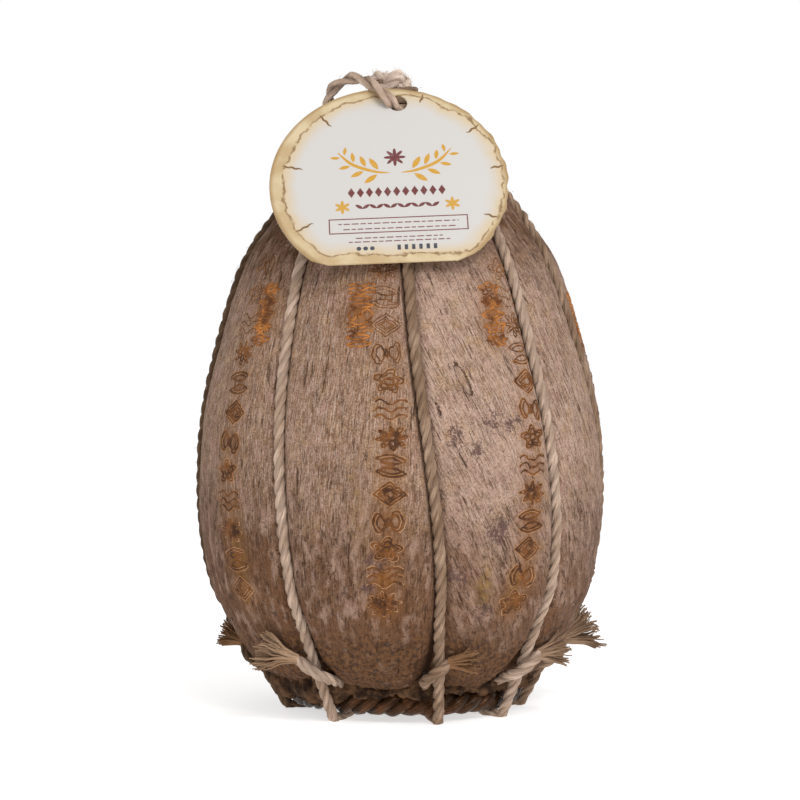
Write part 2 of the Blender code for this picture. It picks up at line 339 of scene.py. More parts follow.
def chance(low, high, seed, index=None):
    """A random number between low and high for each element."""
    wires = {2: low, 3: high, "Seed": seed}
    if index is not None:
        wires["ID"] = index
    return add("FunctionNodeRandomValue", wires, data_type="FLOAT")[1]


def sprinkled(body, density, seed):
    wires = {"Mesh": body, "Density": density, "Seed": seed}
    return add("GeometryNodeDistributePointsOnFaces", wires)


def strewn(points, form, seed, size):
    """Copies of a form on points, each turned at random on its foot."""
    wires = {0: points["Rotation"], 1: combined(0.0, 0.0, chance(0.0, TAU, seed))}
    turn = add("FunctionNodeRotateRotation", wires, rotation_space="LOCAL")[0]
    wires = {"Points": points["Points"], "Instance": form, "Rotation": turn, "Scale": size}
    return add("GeometryNodeInstanceOnPoints", wires)[0]


def end_form(form, material):
    """End a Geometry Nodes tree: copies are made real and the material is set."""
    real = add("GeometryNodeRealizeInstances", {0: form})[0]
    return end_tree(add("GeometryNodeSetMaterial", {"Geometry": real, "Material": material})[0])


def plain_mesh(holder):
    """An object's final form as a plain mesh. The object goes."""
    bpy.context.view_layer.update()
    graph = bpy.context.evaluated_depsgraph_get()
    mesh = bpy.data.meshes.new_from_object(holder.evaluated_get(graph), depsgraph=graph)
    bpy.data.objects.remove(holder, do_unlink=True)
    return mesh


def grow(name, tree, values, holder=None):
    """Run a Geometry Nodes tree on a holder and keep the result as a plain mesh."""
    if holder is None:
        holder = set_out(name, bpy.data.meshes.new(name))
    modifier = holder.modifiers.new(tree.name, "NODES")
    modifier.node_group = tree
    for item in tree.interface.items_tree:
        if item.item_type == "SOCKET" and item.in_out == "INPUT" and item.name in values:
            modifier[item.identifier] = values[item.name]
    mesh = plain_mesh(holder)
    mesh.name = name
    return set_out(name, mesh)


def keep(piece, slot, *nodes):
    """A finished piece: it rides with the part, and stands for the named solids."""
    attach(piece, "root")
    if nodes:
        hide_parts(*nodes)
    print(piece.name, "made with", len(piece.data.polygons), "faces")


print("helpers ready")

# %% [markdown]
# ## Colours as the eye reads them
#
# Colours are written as the 0 to 255 values of a picture, because those are easy to compare, and
# turned into linear light here.

# %% Colours
def paint(red, green, blue):
    """A colour from 0 to 255 values, as linear light."""
    linear = []
    for value in (red, green, blue):
        share = value / 255.0
        linear.append(share / 12.92 if share <= 0.04045 else ((share + 0.055) / 1.055) ** 2.4)
    return (*linear, 1.0)


def blend(factor, first, second, mode="MIX"):
    wires = {0: factor, 6: first, 7: second}
    return add("ShaderNodeMix", wires, data_type="RGBA", blend_type=mode)[2]


def layered(colour, *layers):
    """Colours laid over a first one, each where its mask says."""
    for mask, over in layers:
        colour = blend(mask, colour, over)
    return colour


def new_material(name, roughness, **constants):
    """Begin a Principled material. Returns it, its shader node and the object's coordinates."""
    material = bpy.data.materials.new(name)
    material.use_nodes = True
    TREES.append(material.node_tree)
    shader = material.node_tree.nodes["Principled BSDF"]
    shader.inputs["Roughness"].default_value = roughness
    for socket, value in constants.items():
        shader.inputs[socket.replace("_", " ")].default_value = value
    return material, shader, add("ShaderNodeTexCoord")["Object"]


def attribute(name, output="Fac"):
    return add("ShaderNodeAttribute", attribute_name=name)[output]


def surface(shader, colour, height, strength, distance):
    """Give a material its colour and its fine relief."""
    wires = {"Strength": strength, "Distance": distance, "Height": height}
    lead(colour, shader, "Base Color")
    lead(add("ShaderNodeBump", wires)[0], shader, "Normal")


print("pale rind in linear light:", paint(176, 147, 128))

# %% [markdown]
# ## The outline and the cords' lines
#
# The lobes, the grooves and the cords all follow from one outline and from eight lines down the
# cheese. They are the same driving sizes that the solids use, so whatever is made here fits them.
# A smooth curve through the outline's points gives rows as fine as the mesh needs.

# %% Outline and cord lines
# Rows of a lobe's outline from the top to the underside: radius, height, groove depth and width
PROFILE = (
    (0.0, 254.5, 0.0, 3.0), (14.0, 253.0, 1.4, 3.2), (27.0, 246.8, 2.8, 3.6), (39.0, 236.2, 3.4, 4.2),
    (50.5, 222.6, 3.6, 4.8), (60.0, 210.5, 3.6, 5.0), (68.5, 197.0, 3.7, 5.0), (75.0, 180.0, 3.9, 5.0),
    (80.4, 162.0, 4.3, 5.0), (85.2, 144.5, 4.8, 5.0), (88.6, 126.0, 5.2, 5.0), (90.2, 104.0, 5.4, 5.0),
    (89.3, 80.0, 5.4, 5.0), (85.5, 58.0, 5.8, 5.4), (79.5, 44.0, 6.2, 6.2), (71.5, 30.5, 6.8, 8.0),
    (62.0, 20.3, 7.0, 9.2), (51.5, 14.9, 6.6, 9.8), (42.0, 14.1, 5.8, 9.4), (35.5, 14.0, 4.4, 9.0),
    (29.0, 11.4, 1.0, 6.0), (18.0, 8.4, 0.0, 5.0), (0.0, 7.6, 0.0, 5.0),
)
NARROW_SHARE = 0.62
BROAD_POWER = 2.4
# The soft rind closes in round the cords, and fills the grooves inside the rope ring
GROOVE_CLOSE = 0.62
FILLED_RADII = (36.0, 42.0)
FILLED_SHARE = 0.22
FILLED_BELOW = 20.0
# Azimuth in degrees of each cord at the bundle, on the shoulder and at the foot
CORD_AZIMUTHS = (
    (-88.0, -84.0, -83.0), (-43.0, -38.0, -33.0), (2.0, 2.5, 12.5), (47.0, 42.0, 51.0),
    (92.0, 70.0, 91.0), (137.0, 124.0, 135.0), (182.0, 176.0, 181.0), (227.0, 228.0, 230.0),
)
CROWN_HEIGHTS = (253.0, 195.0)
SIDE_HEIGHTS = (215.0, 30.0)
CURVE_STEPS = 12


def smoothstep(start, end, value):
    share = np.clip((value - start) / (end - start), 0.0, 1.0)
    return share * share * (3.0 - 2.0 * share)


def smooth_curve(points, count, space, closed=False):
    """Evenly spaced rows on a smooth curve. The first space columns are places."""
    rows = np.array(points, dtype=float)
    if closed:
        knots = np.vstack([rows[-1], rows, rows[0], rows[1]])
    else:
        knots = np.vstack([2 * rows[0] - rows[1], rows, 2 * rows[-1] - rows[-2]])
    fine = []
    for a, b, c, d in zip(knots, knots[1:], knots[2:], knots[3:]):
        for s in np.arange(CURVE_STEPS) / CURVE_STEPS:
            square = 2 * a - 5 * b + 4 * c - d
            cube = 3 * b - a - 3 * c + d
            fine.append(0.5 * (2 * b + (c - a) * s + square * s ** 2 + cube * s ** 3))
    fine.append(knots[-2])
    fine = np.array(fine)
    steps = np.linalg.norm(np.diff(fine[:, :space], axis=0), axis=1)
    along = np.concatenate([[0.0], np.cumsum(steps)])
    stops = np.linspace(0.0, along[-1], count, endpoint=not closed)
    return np.stack([np.interp(stops, along, column) for column in fine.T], axis=1)


def outline_rows(count):
    """Rows of the outline with its outward normal: radius, height, depth, width, out, up."""
    rows = smooth_curve(PROFILE, count, space=2)
    slope = np.gradient(rows[:, :2], axis=0)
    slope /= np.linalg.norm(slope, axis=1)[:, None]
    slope[0] = (1.0, 0.0)
    slope[-1] = (-1.0, 0.0)
    return np.hstack([rows, np.stack([-slope[:, 1], slope[:, 0]], axis=1)])


def cord_azimuth(index, height):
    """Azimuth in radians of a cord's line at a height. An index past the last goes round."""
    turns, index = divmod(index, len(CORD_AZIMUTHS))
    crown, shoulder, foot = CORD_AZIMUTHS[index]
    azimuth = crown + (shoulder - crown) * smoothstep(*CROWN_HEIGHTS, height)
    azimuth = azimuth + (foot - shoulder) * smoothstep(*SIDE_HEIGHTS, height)
    return np.radians(azimuth + 360.0 * turns)


def place(azimuth, radius, height, shift=0.0):
    """Points by azimuth, radius and height, moved sideways by shift."""
    x = np.sin(azimuth) * radius + np.cos(azimuth) * shift
    y = -np.cos(azimuth) * radius + np.sin(azimuth) * shift
    return np.stack(np.broadcast_arrays(x, y, height), axis=-1)


print("cords at the shoulder, in degrees:", [shoulder for _, shoulder, _ in CORD_AZIMUTHS])

# %% [markdown]
# ## The rind's base form
#
# The rind is one closed skin, made as a grid: rows run down the outline and columns run across
# the lobes. Rows and columns lie closest where the rind is seen most. Each vertex also keeps what
# the finish needs to know there: a grain direction, the distance to the nearest cord, how near
# the foot it is, and how strong the bloom, the stains, the mould and the splits are.
#
# A grid from numbers is chosen over a sculpted sphere, because the grooves then meet the cords
# exactly, and because a vertex's own lobe and height are known.

# %% Rind form
LOBE_COLUMNS = (76, 80, 76, 60, 50, 50, 50, 50)
RIND_ROWS = 200
FINE_ROWS = 900
# How much closer the rows lie on the side than on the crown and under the foot
SIDE_WEIGHT = 2.4
SIDE_BAND = (26.0, 232.0)
GRAIN_RADIUS = 90.0
GRAIN_MIDDLE = 120.0
# Slope by which the grain leans over on each lobe, starting with the lobe after the first cord
LOBE_LEAN = (0.0, -0.06, 0.48, 0.36, 0.2, 0.0, 0.0, -0.1)
# How strongly each lobe takes the painted shade, towards the foot and near the crown
LOBE_SHADE = (1.3, 1.06, 1.0, 1.04, 1.0, 1.0, 1.0, 1.1)
# Share of pale bloom on each lobe, starting with the lobe after the first cord
LOBE_BLOOM = (-0.34, 0.06, 0.84, 0.62, 0.7, 0.45, 0.6, 0.4)
BLOOM_EDGE = 0.08


def rind_rows():
    rows = outline_rows(FINE_ROWS)
    heights = rows[:, 1]
    on_side = smoothstep(SIDE_BAND[0] - 8.0, SIDE_BAND[0] + 4.0, heights)
    on_side = on_side * smoothstep(SIDE_BAND[1] + 8.0, SIDE_BAND[1] - 4.0, heights)
    weight = 1.0 + (SIDE_WEIGHT - 1.0) * on_side
    total = np.concatenate([[0.0], np.cumsum(weight[1:])])
    picks = np.searchsorted(total, np.linspace(0.0, total[-1], RIND_ROWS))
    return rows[np.clip(picks, 0, FINE_ROWS - 1)]


def rind_columns():
    """The lobe and the share of the way across it, for each column."""
    lobes = []
    shares = []
    for lobe, count in enumerate(LOBE_COLUMNS):
        lobes += [lobe] * count
        shares += [step / count for step in range(count)]
    return np.array(lobes), np.array(shares)


def rind_grid(rows, lobes, shares):
    """Places of the grid in millimetres, each vertex's azimuth, and its distance to a cord."""
    radius, height, depth, width, out, up = [column[:, None] for column in rows.T]
    lefts = np.stack([cord_azimuth(lobe, rows[:, 1]) for lobe in range(len(LOBE_COLUMNS) + 1)], axis=1)
    left = lefts[:, lobes]
    right = lefts[:, lobes + 1]
    nearest = np.minimum(shares, 1.0 - shares) * (right - left) * radius
    inside = (1.0 - smoothstep(*FILLED_RADII, radius)) * (height < FILLED_BELOW)
    depth = depth * (1.0 - (1.0 - FILLED_SHARE) * inside)
    narrow = np.exp(-((nearest / (width * GROOVE_CLOSE)) ** 2))
    broad = np.abs(2.0 * shares - 1.0) ** BROAD_POWER
    sink = depth * (NARROW_SHARE * narrow + (1.0 - NARROW_SHARE) * broad)
    azimuth = left + (right - left) * shares
    spots = place(azimuth, np.maximum(radius - sink * out, 0.0), height - sink * up)
    return spots, azimuth, nearest


def grid_faces(rows, columns):
    """Quads between the poles and triangles at them. Vertex 0 and the last one are the poles."""
    first = 1 + np.arange(rows - 2)[:, None] * columns
    column = np.arange(columns)
    after = (column + 1) % columns
    a = first[:-1] + column
    b = first[1:] + column
    c = first[1:] + after
    d = first[:-1] + after
    quads = np.stack([a, b, c, d], axis=-1).reshape(-1, 4).tolist()
    last = 1 + (rows - 2) * columns
    top = [(0, 1 + i, 1 + j) for i, j in zip(column.tolist(), after.tolist())]
    low = last - columns
    bottom = [(last, low + j, low + i) for i, j in zip(column.tolist(), after.tolist())]
    return top + quads + bottom


def per_vertex(values):
    """Grid values as one row for each vertex, with each pole's row of copies as one."""
    inner = values[1:-1].reshape(-1, *values.shape[2:])
    return np.concatenate([values[0, :1], inner, values[-1, :1]])


def store(mesh, name, values):
    """Keep values on a mesh's vertices, as numbers or as vectors."""
    kind, slot = ("FLOAT", "value") if values.ndim == 1 else ("FLOAT_VECTOR", "vector")
    layer = mesh.attributes.new(name, kind, "POINT")
    layer.data.foreach_set(slot, values.astype(np.float32).ravel())


ROWS = rind_rows()
LOBES, SHARES = rind_columns()
SPOTS, AZIMUTHS, TO_CORD = rind_grid(ROWS, LOBES, SHARES)
HEIGHTS = np.broadcast_to(ROWS[:, 1:2], AZIMUTHS.shape)
print("rind grid:", AZIMUTHS.shape, "widest", float(np.abs(SPOTS[..., 0]).max()))

# %% [markdown]
# ## Where the marks go
#
# A maker presses a row of marks down each lobe while the cheese is young. As the rind dries the
# marks turn ochre, strongly near the foot and faintly near the top. Each row has a short dark
# stamp at its top. The marks here are plain ornaments: lozenges, leaves, stars, waves and
# rosettes. Their rows are given by azimuth and height, read off the photograph for the lobes that
# it shows and guessed for the rest.

# %% Rows of marks
# Azimuth in degrees and height, from the lowest mark up
MARK_ROWS = (
    ((-51.0, 58.0), (-53.0, 88.0), (-54.0, 113.0), (-53.0, 138.0), (-55.0, 172.0), (-56.0, 196.0)),
    ((-4.5, 55.0), (-3.0, 91.0), (-2.0, 123.0), (-2.5, 140.0), (-4.0, 168.0), (-5.5, 194.0)),
    ((34.0, 54.0), (36.5, 72.0), (38.0, 106.0), (39.0, 139.0), (38.5, 168.0), (37.0, 194.0)),
    ((98.0, 60.0), (97.0, 100.0), (95.0, 140.0), (94.0, 192.0)),
    ((142.0, 58.0), (141.0, 100.0), (140.0, 140.0), (139.0, 190.0)),
    ((198.0, 58.0), (198.0, 100.0), (196.0, 140.0), (196.0, 190.0)),
    ((248.0, 58.0), (249.0, 100.0), (248.0, 140.0), (247.0, 190.0)),
)
# Azimuth and height of each stamp's middle
STAMPS = (
    (-48.0, 175.0), (-12.5, 175.0), (30.5, 175.0), (84.0, 171.0), (126.0, 174.0), (186.0, 174.0),
    (236.0, 174.0),
)
MARK_PITCH = 11.6
STAIN_WIDTH = 6.4
STAMP_WIDTH = 7.0
STAMP_HALF_LENGTH = 12.0
# A row's stain fades over these heights, and a stamp's has this strength
STAIN_BAND = (70.0, 175.0)
STAMP_STAIN = 0.9


def mark_places(row):
    """Azimuth in radians and height of each mark of a row, a pitch apart."""
    lengths = np.array([(math.radians(azimuth) * GRAIN_RADIUS, height) for azimuth, height in row])
    way = np.linalg.norm(np.diff(lengths, axis=0), axis=1).sum()
    spots = smooth_curve(lengths, int(way / MARK_PITCH) + 1, space=2)
    return [(across / GRAIN_RADIUS, height) for across, height in spots]


def soft_spot(azimuth, height, across, along):
    """A soft spot on the grid, 1 in its middle. The sizes are half widths in millimetres."""
    turn = (AZIMUTHS - azimuth + math.pi) % TAU - math.pi
    side = turn * ROWS[:, 0:1] / across
    return np.exp(-(side ** 2) - ((HEIGHTS - height) / along) ** 2)


def stain_map():
    stain = np.zeros_like(AZIMUTHS)
    for row in MARK_ROWS:
        for azimuth, height in mark_places(row):
            strength = 0.25 + 0.75 * (1.0 - smoothstep(*STAIN_BAND, height))
            stain = np.maximum(stain, strength * soft_spot(azimuth, height, STAIN_WIDTH, STAIN_WIDTH))
    for azimuth, height in STAMPS:
        spot = soft_spot(math.radians(azimuth), height, STAMP_WIDTH, STAMP_HALF_LENGTH)
        stain = np.maximum(stain, STAMP_STAIN * spot)
    return stain


STAIN = stain_map()
print("marks in each row:", [len(mark_places(row)) for row in MARK_ROWS])

# %% [markdown]
# ## Age on the rind
#
# Grey mould grows in loose spots on the right lobes, one lens-shaped split has opened near the
# shoulder, and the foot has a thick dark crust. Each is a soft spot on the grid. The finish breaks
# it up with noise, so it gets ragged edges at a pixel's size.

# %% Mould, splits and crust
# Azimuth, height, half width across and along, strength
MOULD_SPOTS = (
    (15, 124, 5, 6, 0.9), (21, 118, 4, 6, 0.9), (26, 130, 6, 6, 0.9), (31, 129, 5, 4, 0.8),
    (34, 131, 4, 4, 0.7), (27, 86, 6, 8, 1.0), (15, 67, 7, 6, 1.0), (11, 72, 4, 7, 0.8),
    (24, 50, 7, 6, 0.7), (-6, 74, 5, 6, 0.9), (-9, 63, 4, 6, 0.8), (-21, 139, 3, 3, 0.7),
    (0, 110, 3, 4, 0.6), (-3, 176, 5, 9, 0.5), (70, 92, 4, 5, 0.5), (110, 90, 6, 7, 0.8),
    (160, 120, 6, 8, 0.8), (205, 80, 7, 6, 0.8), (240, 130, 5, 7, 0.6),
)
YELLOW_SPOTS = ((24, 64, 3.5, 9, 1.0), (33, 62, 3, 7, 0.5), (-11, 92, 4, 14, 0.5), (-50, 70, 5, 20, 0.5))
# Places at the right edge where flakes stand up
FLAKE_SPOTS = ((84, 132, 6, 4, 1.0), (84, 118, 5, 3, 0.8), (86, 84, 6, 5, 1.0), (82, 60, 6, 5, 1.0))
# Azimuth, height, half width, half length, depth
SPLITS = ((18.0, 148.0, 2.3, 7.5, 1.5), (10.5, 136.5, 0.8, 4.0, 0.6), (150.0, 130.0, 1.6, 7.0, 1.2))
SPLIT_LEAN = 0.42
FOOT_BAND = (66.0, 18.0)
# Painted shade with a browner rind: darker and browner towards the foot over these heights
LOW_SHADE_BAND = (150.0, 40.0)
# Painted shade: how dark the rind is drawn in the crevice on the left and on the right of each cord
LEFT_SEAM_SHADE = (0.5, 0.35, 1.0, 1.0, 0.8, 0.6, 0.6, 0.6)
RIGHT_SEAM_SHADE = (0.6, 0.25, 0.15, 0.25, 0.3, 0.4, 0.4, 0.4)
SEAM_SHADE_WIDTHS = (4.4, 2.6)
# Painted shadow of the card: the rind is drawn darker and browner near the crown
CARD_SHADOW_BAND = (166.0, 234.0)
CARD_SHADOW_SHARE = 1.3


def spot_map(spots):
    total = np.zeros_like(AZIMUTHS)
    for azimuth, height, across, along, strength in spots:
        total = np.maximum(total, strength * soft_spot(math.radians(azimuth), height, across, along))
    return total


def split_map():
    """1 in the middle of a split, fading to 0 at its lips. Each leans with the grain."""
    total = np.zeros_like(AZIMUTHS)
    for azimuth, height, across, along, depth in SPLITS:
        side = (AZIMUTHS - math.radians(azimuth)) * ROWS[:, 0:1] + (HEIGHTS - height) * SPLIT_LEAN
        reach = (side / across) ** 2 + np.abs((HEIGHTS - height) / along) ** 1.5
        total = np.maximum(total, depth * np.clip(1.0 - reach, 0.0, 1.0) ** 0.6)
    return total


def bloom_map():
    """Pale bloom, from lobe to lobe with a soft change at each cord."""
    values = np.array(LOBE_BLOOM)
    here = values[LOBES]
    before = values[LOBES - 1]
    after = values[(LOBES + 1) % len(values)]
    bloom = here + (before - here) * 0.5 * np.clip(1.0 - SHARES / BLOOM_EDGE, 0.0, 1.0)
    bloom = bloom + (after - here) * 0.5 * np.clip(1.0 - (1.0 - SHARES) / BLOOM_EDGE, 0.0, 1.0)
    return np.broadcast_to(bloom, AZIMUTHS.shape)


def seam_shade_map():
    """Painted shade: how dark the rind is drawn beside each cord, along its crevice."""
    left = np.array(LEFT_SEAM_SHADE)[(LOBES + 1) % len(LEFT_SEAM_SHADE)]
    right = np.array(RIGHT_SEAM_SHADE)[LOBES]
    return np.where(SHARES > 0.5, left, right) * smoothstep(*SEAM_SHADE_WIDTHS, TO_CORD)


def grain_map():
    """A place on the unrolled rind, whose third part runs along the grain."""
    lean = np.array(LOBE_LEAN)[LOBES]
    turned = AZIMUTHS + lean * (HEIGHTS - GRAIN_MIDDLE) / GRAIN_RADIUS
    steps = np.linalg.norm(np.diff(ROWS[:, :2], axis=0), axis=1)
    along = np.concatenate([[0.0], np.cumsum(steps)])[:, None] + 0.0 * turned
    grain = np.stack([np.cos(turned) * GRAIN_RADIUS, np.sin(turned) * GRAIN_RADIUS, along], axis=-1)
    return grain * MM


def make_rind_skin():
    mesh = bpy.data.meshes.new("rind")
    vertices = per_vertex(SPOTS) * MM
    mesh.from_pydata(vertices.tolist(), [], grid_faces(*AZIMUTHS.shape))
    # The low map: painted shade towards the foot, and the card's painted shadow near the crown
    shade_browned = np.maximum(smoothstep(*LOW_SHADE_BAND, HEIGHTS), CARD_SHADOW_SHARE * smoothstep(*CARD_SHADOW_BAND, HEIGHTS))
    maps = {
        "grain": grain_map(), "cord_gap": TO_CORD, "foot": smoothstep(*FOOT_BAND, HEIGHTS),
        "low": shade_browned * np.array(LOBE_SHADE)[LOBES], "seam_shade": seam_shade_map(), "bloom": bloom_map(),
        "stain": STAIN, "mould": spot_map(MOULD_SPOTS), "yellow": spot_map(YELLOW_SPOTS),
        "split": split_map(), "flaky": spot_map(FLAKE_SPOTS),
    }
    for name, values in maps.items():
        store(mesh, name, per_vertex(values))
    mesh.shade_smooth()
    return set_out("rind", mesh)


RIND_SKIN = make_rind_skin()
print("rind skin:", len(RIND_SKIN.data.vertices), "vertices")

# %% [markdown]
# ## Relief of the rind
#
# The rind isn't smooth: it has low lumps, shallow upright furrows, dark splits along the grain
# and a rough crust at the foot. A Geometry Nodes tree moves each vertex along its normal by the
# sum of these. The furrows use the same noise as the colours do, so a dark line is also a groove.

# %% Rind relief
SPLIT_FINENESS = 560.0
SPLIT_STRETCH = 0.12
SPLIT_RANGE = (0.675, 0.71)


def relief_tree():
    given = start_tree("rind relief", {
        "Geometry": "Geometry", "Lump height": 0.0014, "Furrow depth": 0.0004, "Split depth": 0.0006,
        "Crust height": 0.0042, "Material": "Material",
    })
    where = here()
    grain = named("grain", "FLOAT_VECTOR")
    lumps = noise(where, 34.0, 2.0) - 0.5 + (noise(where, 120.0, 3.0) - 0.5) * 0.5
    furrows = (streaks(grain, 260.0, 0.08, 0.35, 0.65) - 0.5) * given["Furrow depth"]
    splits = streaks(grain, SPLIT_FINENESS, SPLIT_STRETCH, *SPLIT_RANGE) * given["Split depth"]
    crust = (noise(where, 210.0, 4.0, 0.65) - 0.45) * named("foot") * given["Crust height"]
    height = lumps * given["Lump height"] + furrows - splits + crust
    clear = ramp(named("cord_gap"), 2.0, 7.0)
    height = height * ramp(clear, 0.0, 1.0, 0.25, 1.0) - named("split") * MM
    moved = shifted(given["Geometry"], Offset=scaled(outward(), height))
    return end_form(moved, given["Material"])


# %% [markdown]
# ## Finish of the rind
#
# Close up, the rind is greyish tan with pale upright fibres, fine dark dashes and brown patches.
# The right lobes carry more of the pale bloom. Towards the foot the rind is browner and painted
# shade darkens it further, and a painted shadow of the card darkens the crown. One shader group
# makes streaks along a direction. The rind uses it for fibres and dashes, and the cords and the
# rope ring use it too.

# %% Streaks shared by the finishes
def streak_group():
    inputs = {"Vector": "Vector", "Fineness": 400.0, "Stretch": 0.1, "Start": 0.5, "End": 0.7}
    given = start_tree("streaks", inputs, "ShaderNodeTree", "Float")
    return end_tree(streaks(*[given[label] for label in inputs]))


STREAKS = streak_group()


def streak_mask(vector, fineness, stretch, start, end):
    wires = {"Vector": vector, "Fineness": fineness, "Stretch": stretch, "Start": start, "End": end}
    return add("ShaderNodeGroup", wires, node_tree=STREAKS)[0]


print("shared shader group:", STREAKS.name)

# %% Rind finish
RIND_BROWN = paint(138, 106, 82)
RIND_PALE = paint(176, 146, 128)
RIND_PINK = paint(172, 134, 120)
RIND_TAN = paint(166, 132, 98)
RIND_DARK = paint(88, 58, 36)
RIND_FIBRE = paint(202, 178, 162)
# The brown of splits, dashes and pits is also the painted shade beside the cords
SPLIT_AND_SHADE_BROWN = paint(60, 36, 18)
CRUST_BROWN = paint(56, 34, 20)
CRUST_LUMP = paint(112, 76, 46)
OCHRE = paint(127, 78, 26)
MOULD_GREY = paint(84, 60, 56)
MOSS_YELLOW = paint(140, 106, 52)
# Tint and deep brown of the painted shade towards the foot and of the card's painted shadow
LOW_SHADE_TINT = paint(188, 166, 140)
DEEP_SHADE_BROWN = paint(100, 61, 28)


def rind_finish():
    material, shader, where = new_material("rind_finish", 0.85, Specular_IOR_Level=0.25)
    grain = attribute("grain", "Vector")
    flecks = noise(where, 330.0, 4.0, 0.65)
    blotches = noise(where, 130.0, 4.0, 0.6)
    grit = noise(where, 1400.0, 3.0, 0.7)
    dots = noise(where, 700.0, 5.0, 0.75)
    patches = streak_mask(grain, 170.0, 0.45, 0.5, 0.68)
    fibres = streak_mask(grain, 2000.0, 0.09, 0.46, 0.64)
    lines = streak_mask(grain, 1700.0, 0.13, 0.55, 0.66)
    dashes = streak_mask(grain, 1150.0, 0.1, 0.64, 0.69)
    tufts = streak_mask(grain, 210.0, 0.5, 0.48, 0.68)
    pits = streak_mask(grain, 520.0, 0.38, 0.56, 0.65)
    splits = streak_mask(grain, SPLIT_FINENESS, SPLIT_STRETCH, *SPLIT_RANGE)
    specks = ramp(noise(where, 620.0, 3.0, 0.6), 0.58, 0.68)
    # The dry rind, from its pale bloom to its finest lines
    tone = attribute("bloom") + (noise(where, 24.0, 5.0, 0.6) - 0.5) * 1.9 + (flecks - 0.5) * 1.9
    colour = layered(
        RIND_BROWN,
        (ramp(tone, 0.0, 1.0), RIND_PALE),
        (ramp(blotches, 0.52, 0.68, 0.0, 0.7), RIND_PINK),
        (ramp(blotches, 0.48, 0.34, 0.0, 0.7), RIND_TAN),
        (patches * 0.38, RIND_DARK),
        (fibres * 0.5, RIND_FIBRE),
        (lines * 0.62, RIND_DARK),
        (dashes * 0.9, SPLIT_AND_SHADE_BROWN),
    )
    # Towards the foot a browner rind with painted shade, and the card's painted shadow at the crown, with a
    # ragged edge
    stored = attribute("low")
    frayed = (noise(where, 42.0, 5.0, 0.62) - 0.5) * 1.1 * ramp(stored, 0.0, 0.25)
    low = ramp(stored + frayed, 0.0, 1.2, 0.0, 1.2)
    tinted = blend(1.0, colour, LOW_SHADE_TINT, "MULTIPLY")
    shade_browned = blend(1.0, tinted, LOW_SHADE_TINT, "MULTIPLY")
    colour = layered(
        colour,
        (low * 0.6, shade_browned),
        (ramp(low, 0.9, 1.2, 0.0, 0.5), DEEP_SHADE_BROWN),
        (tufts * ramp(low, 0.0, 0.8, 0.1, 0.5), RIND_PALE),
        (pits * ramp(low, 0.0, 0.8, 0.12, 0.7), SPLIT_AND_SHADE_BROWN),
        (ramp(grit, 0.5, 0.66, 0.0, 0.56), RIND_DARK),
        (ramp(grit, 0.5, 0.36, 0.0, 0.3) * ramp(low, 0.0, 1.0, 1.0, 0.25), RIND_FIBRE),
        (specks * ramp(low, 0.0, 1.0, 0.15, 0.7), SPLIT_AND_SHADE_BROWN),
    )
    # Crust, stains, mould, splits, and painted shade in the crevices beside the cords
    crust = blend(ramp(noise(where, 520.0, 5.0, 0.7), 0.36, 0.62), CRUST_BROWN, CRUST_LUMP)
    grime = attribute("foot") + (noise(where, 80.0, 6.0, 0.68) - 0.5) * 1.3
    stain = attribute("stain") * ramp(noise(where, 160.0, 5.0), 0.2, 0.52)
    yellow = attribute("yellow") * ramp(flecks, 0.35, 0.6)
    mould = attribute("mould") + (dots - 0.5) * 3.2 + (noise(where, 200.0, 2.0) - 0.5) * 1.5
    split = attribute("split")
    split = split + ramp(split, 0.0, 0.2) * ((dots - 0.5) * 2.2)
    lip = ramp(split, 0.1, 0.3) * ramp(split, 0.5, 0.9, 1.0, 0.1)
    seam_shade = attribute("seam_shade") + (flecks - 0.5) * 0.3
    colour = layered(
        colour,
        (ramp(grime, 0.25, 0.85, 0.0, 0.92), crust),
        (stain * 0.86, OCHRE),
        (yellow * 0.7, MOSS_YELLOW),
        (ramp(mould, 0.5, 0.95, 0.0, 0.8), MOULD_GREY),
        (splits * 0.75, SPLIT_AND_SHADE_BROWN),
        (lip * 0.9, SPLIT_AND_SHADE_BROWN),
        (ramp(seam_shade, 0.1, 0.9, 0.0, 0.8), SPLIT_AND_SHADE_BROWN),
    )
    height = fibres * 0.3 - splits - lines * 0.35 - reckon("MAXIMUM", dashes, pits) * 0.7
    height = height + noise(where, 600.0, 5.0, 0.65) * 1.1
    surface(shader, colour, height, 0.7, 0.0006)
    return material


RIND = grow("rind", relief_tree(), {"Material": rind_finish()}, RIND_SKIN)
keep(RIND, "rind", "cheese")

# %% [markdown]
# ## The pressed marks
#
# A pressed mark is an outline: a thin raised edge round a shallow bed. Each motif is drawn once as
# flat lines in a box one unit wide, then laid on the rind by azimuth and height. A Geometry Nodes
# tree drops every point of the lines onto the nearest face of the rind and sweeps a thin round
# edge along them, so that the marks follow each lump.

# %% Motifs
MARK_WIDTH = 13.6
MARK_HEIGHT = 10.4
LEAF_POINTS = 9


def ring_of(radius_at, count, tilt=0.0):
    """A closed line round the middle, with its radius given by the angle."""
    points = []
    for step in range(count):
        angle = TAU * step / count
        radius = radius_at(angle)
        points.append((radius * math.cos(angle + tilt), radius * math.sin(angle + tilt)))
    return points


def leaf(centre, half_width, half_height):
    """A lens-shaped leaf lying across, as a closed line."""
    upper = []
    for step in range(LEAF_POINTS):
        share = step / (LEAF_POINTS - 1)
        rise = math.sin(math.pi * share) ** 0.8 * half_height
        upper.append((centre[0] + half_width * (2.0 * share - 1.0), centre[1] + rise))
    lower = [(x, 2.0 * centre[1] - y) for x, y in reversed(upper[1:-1])]
    return upper + lower


def wave(middle, swing):
    points = []
    for step in range(25):
        share = step / 24
        points.append((share - 0.5, middle + swing * math.sin(3.0 * math.pi * share)))
    return points


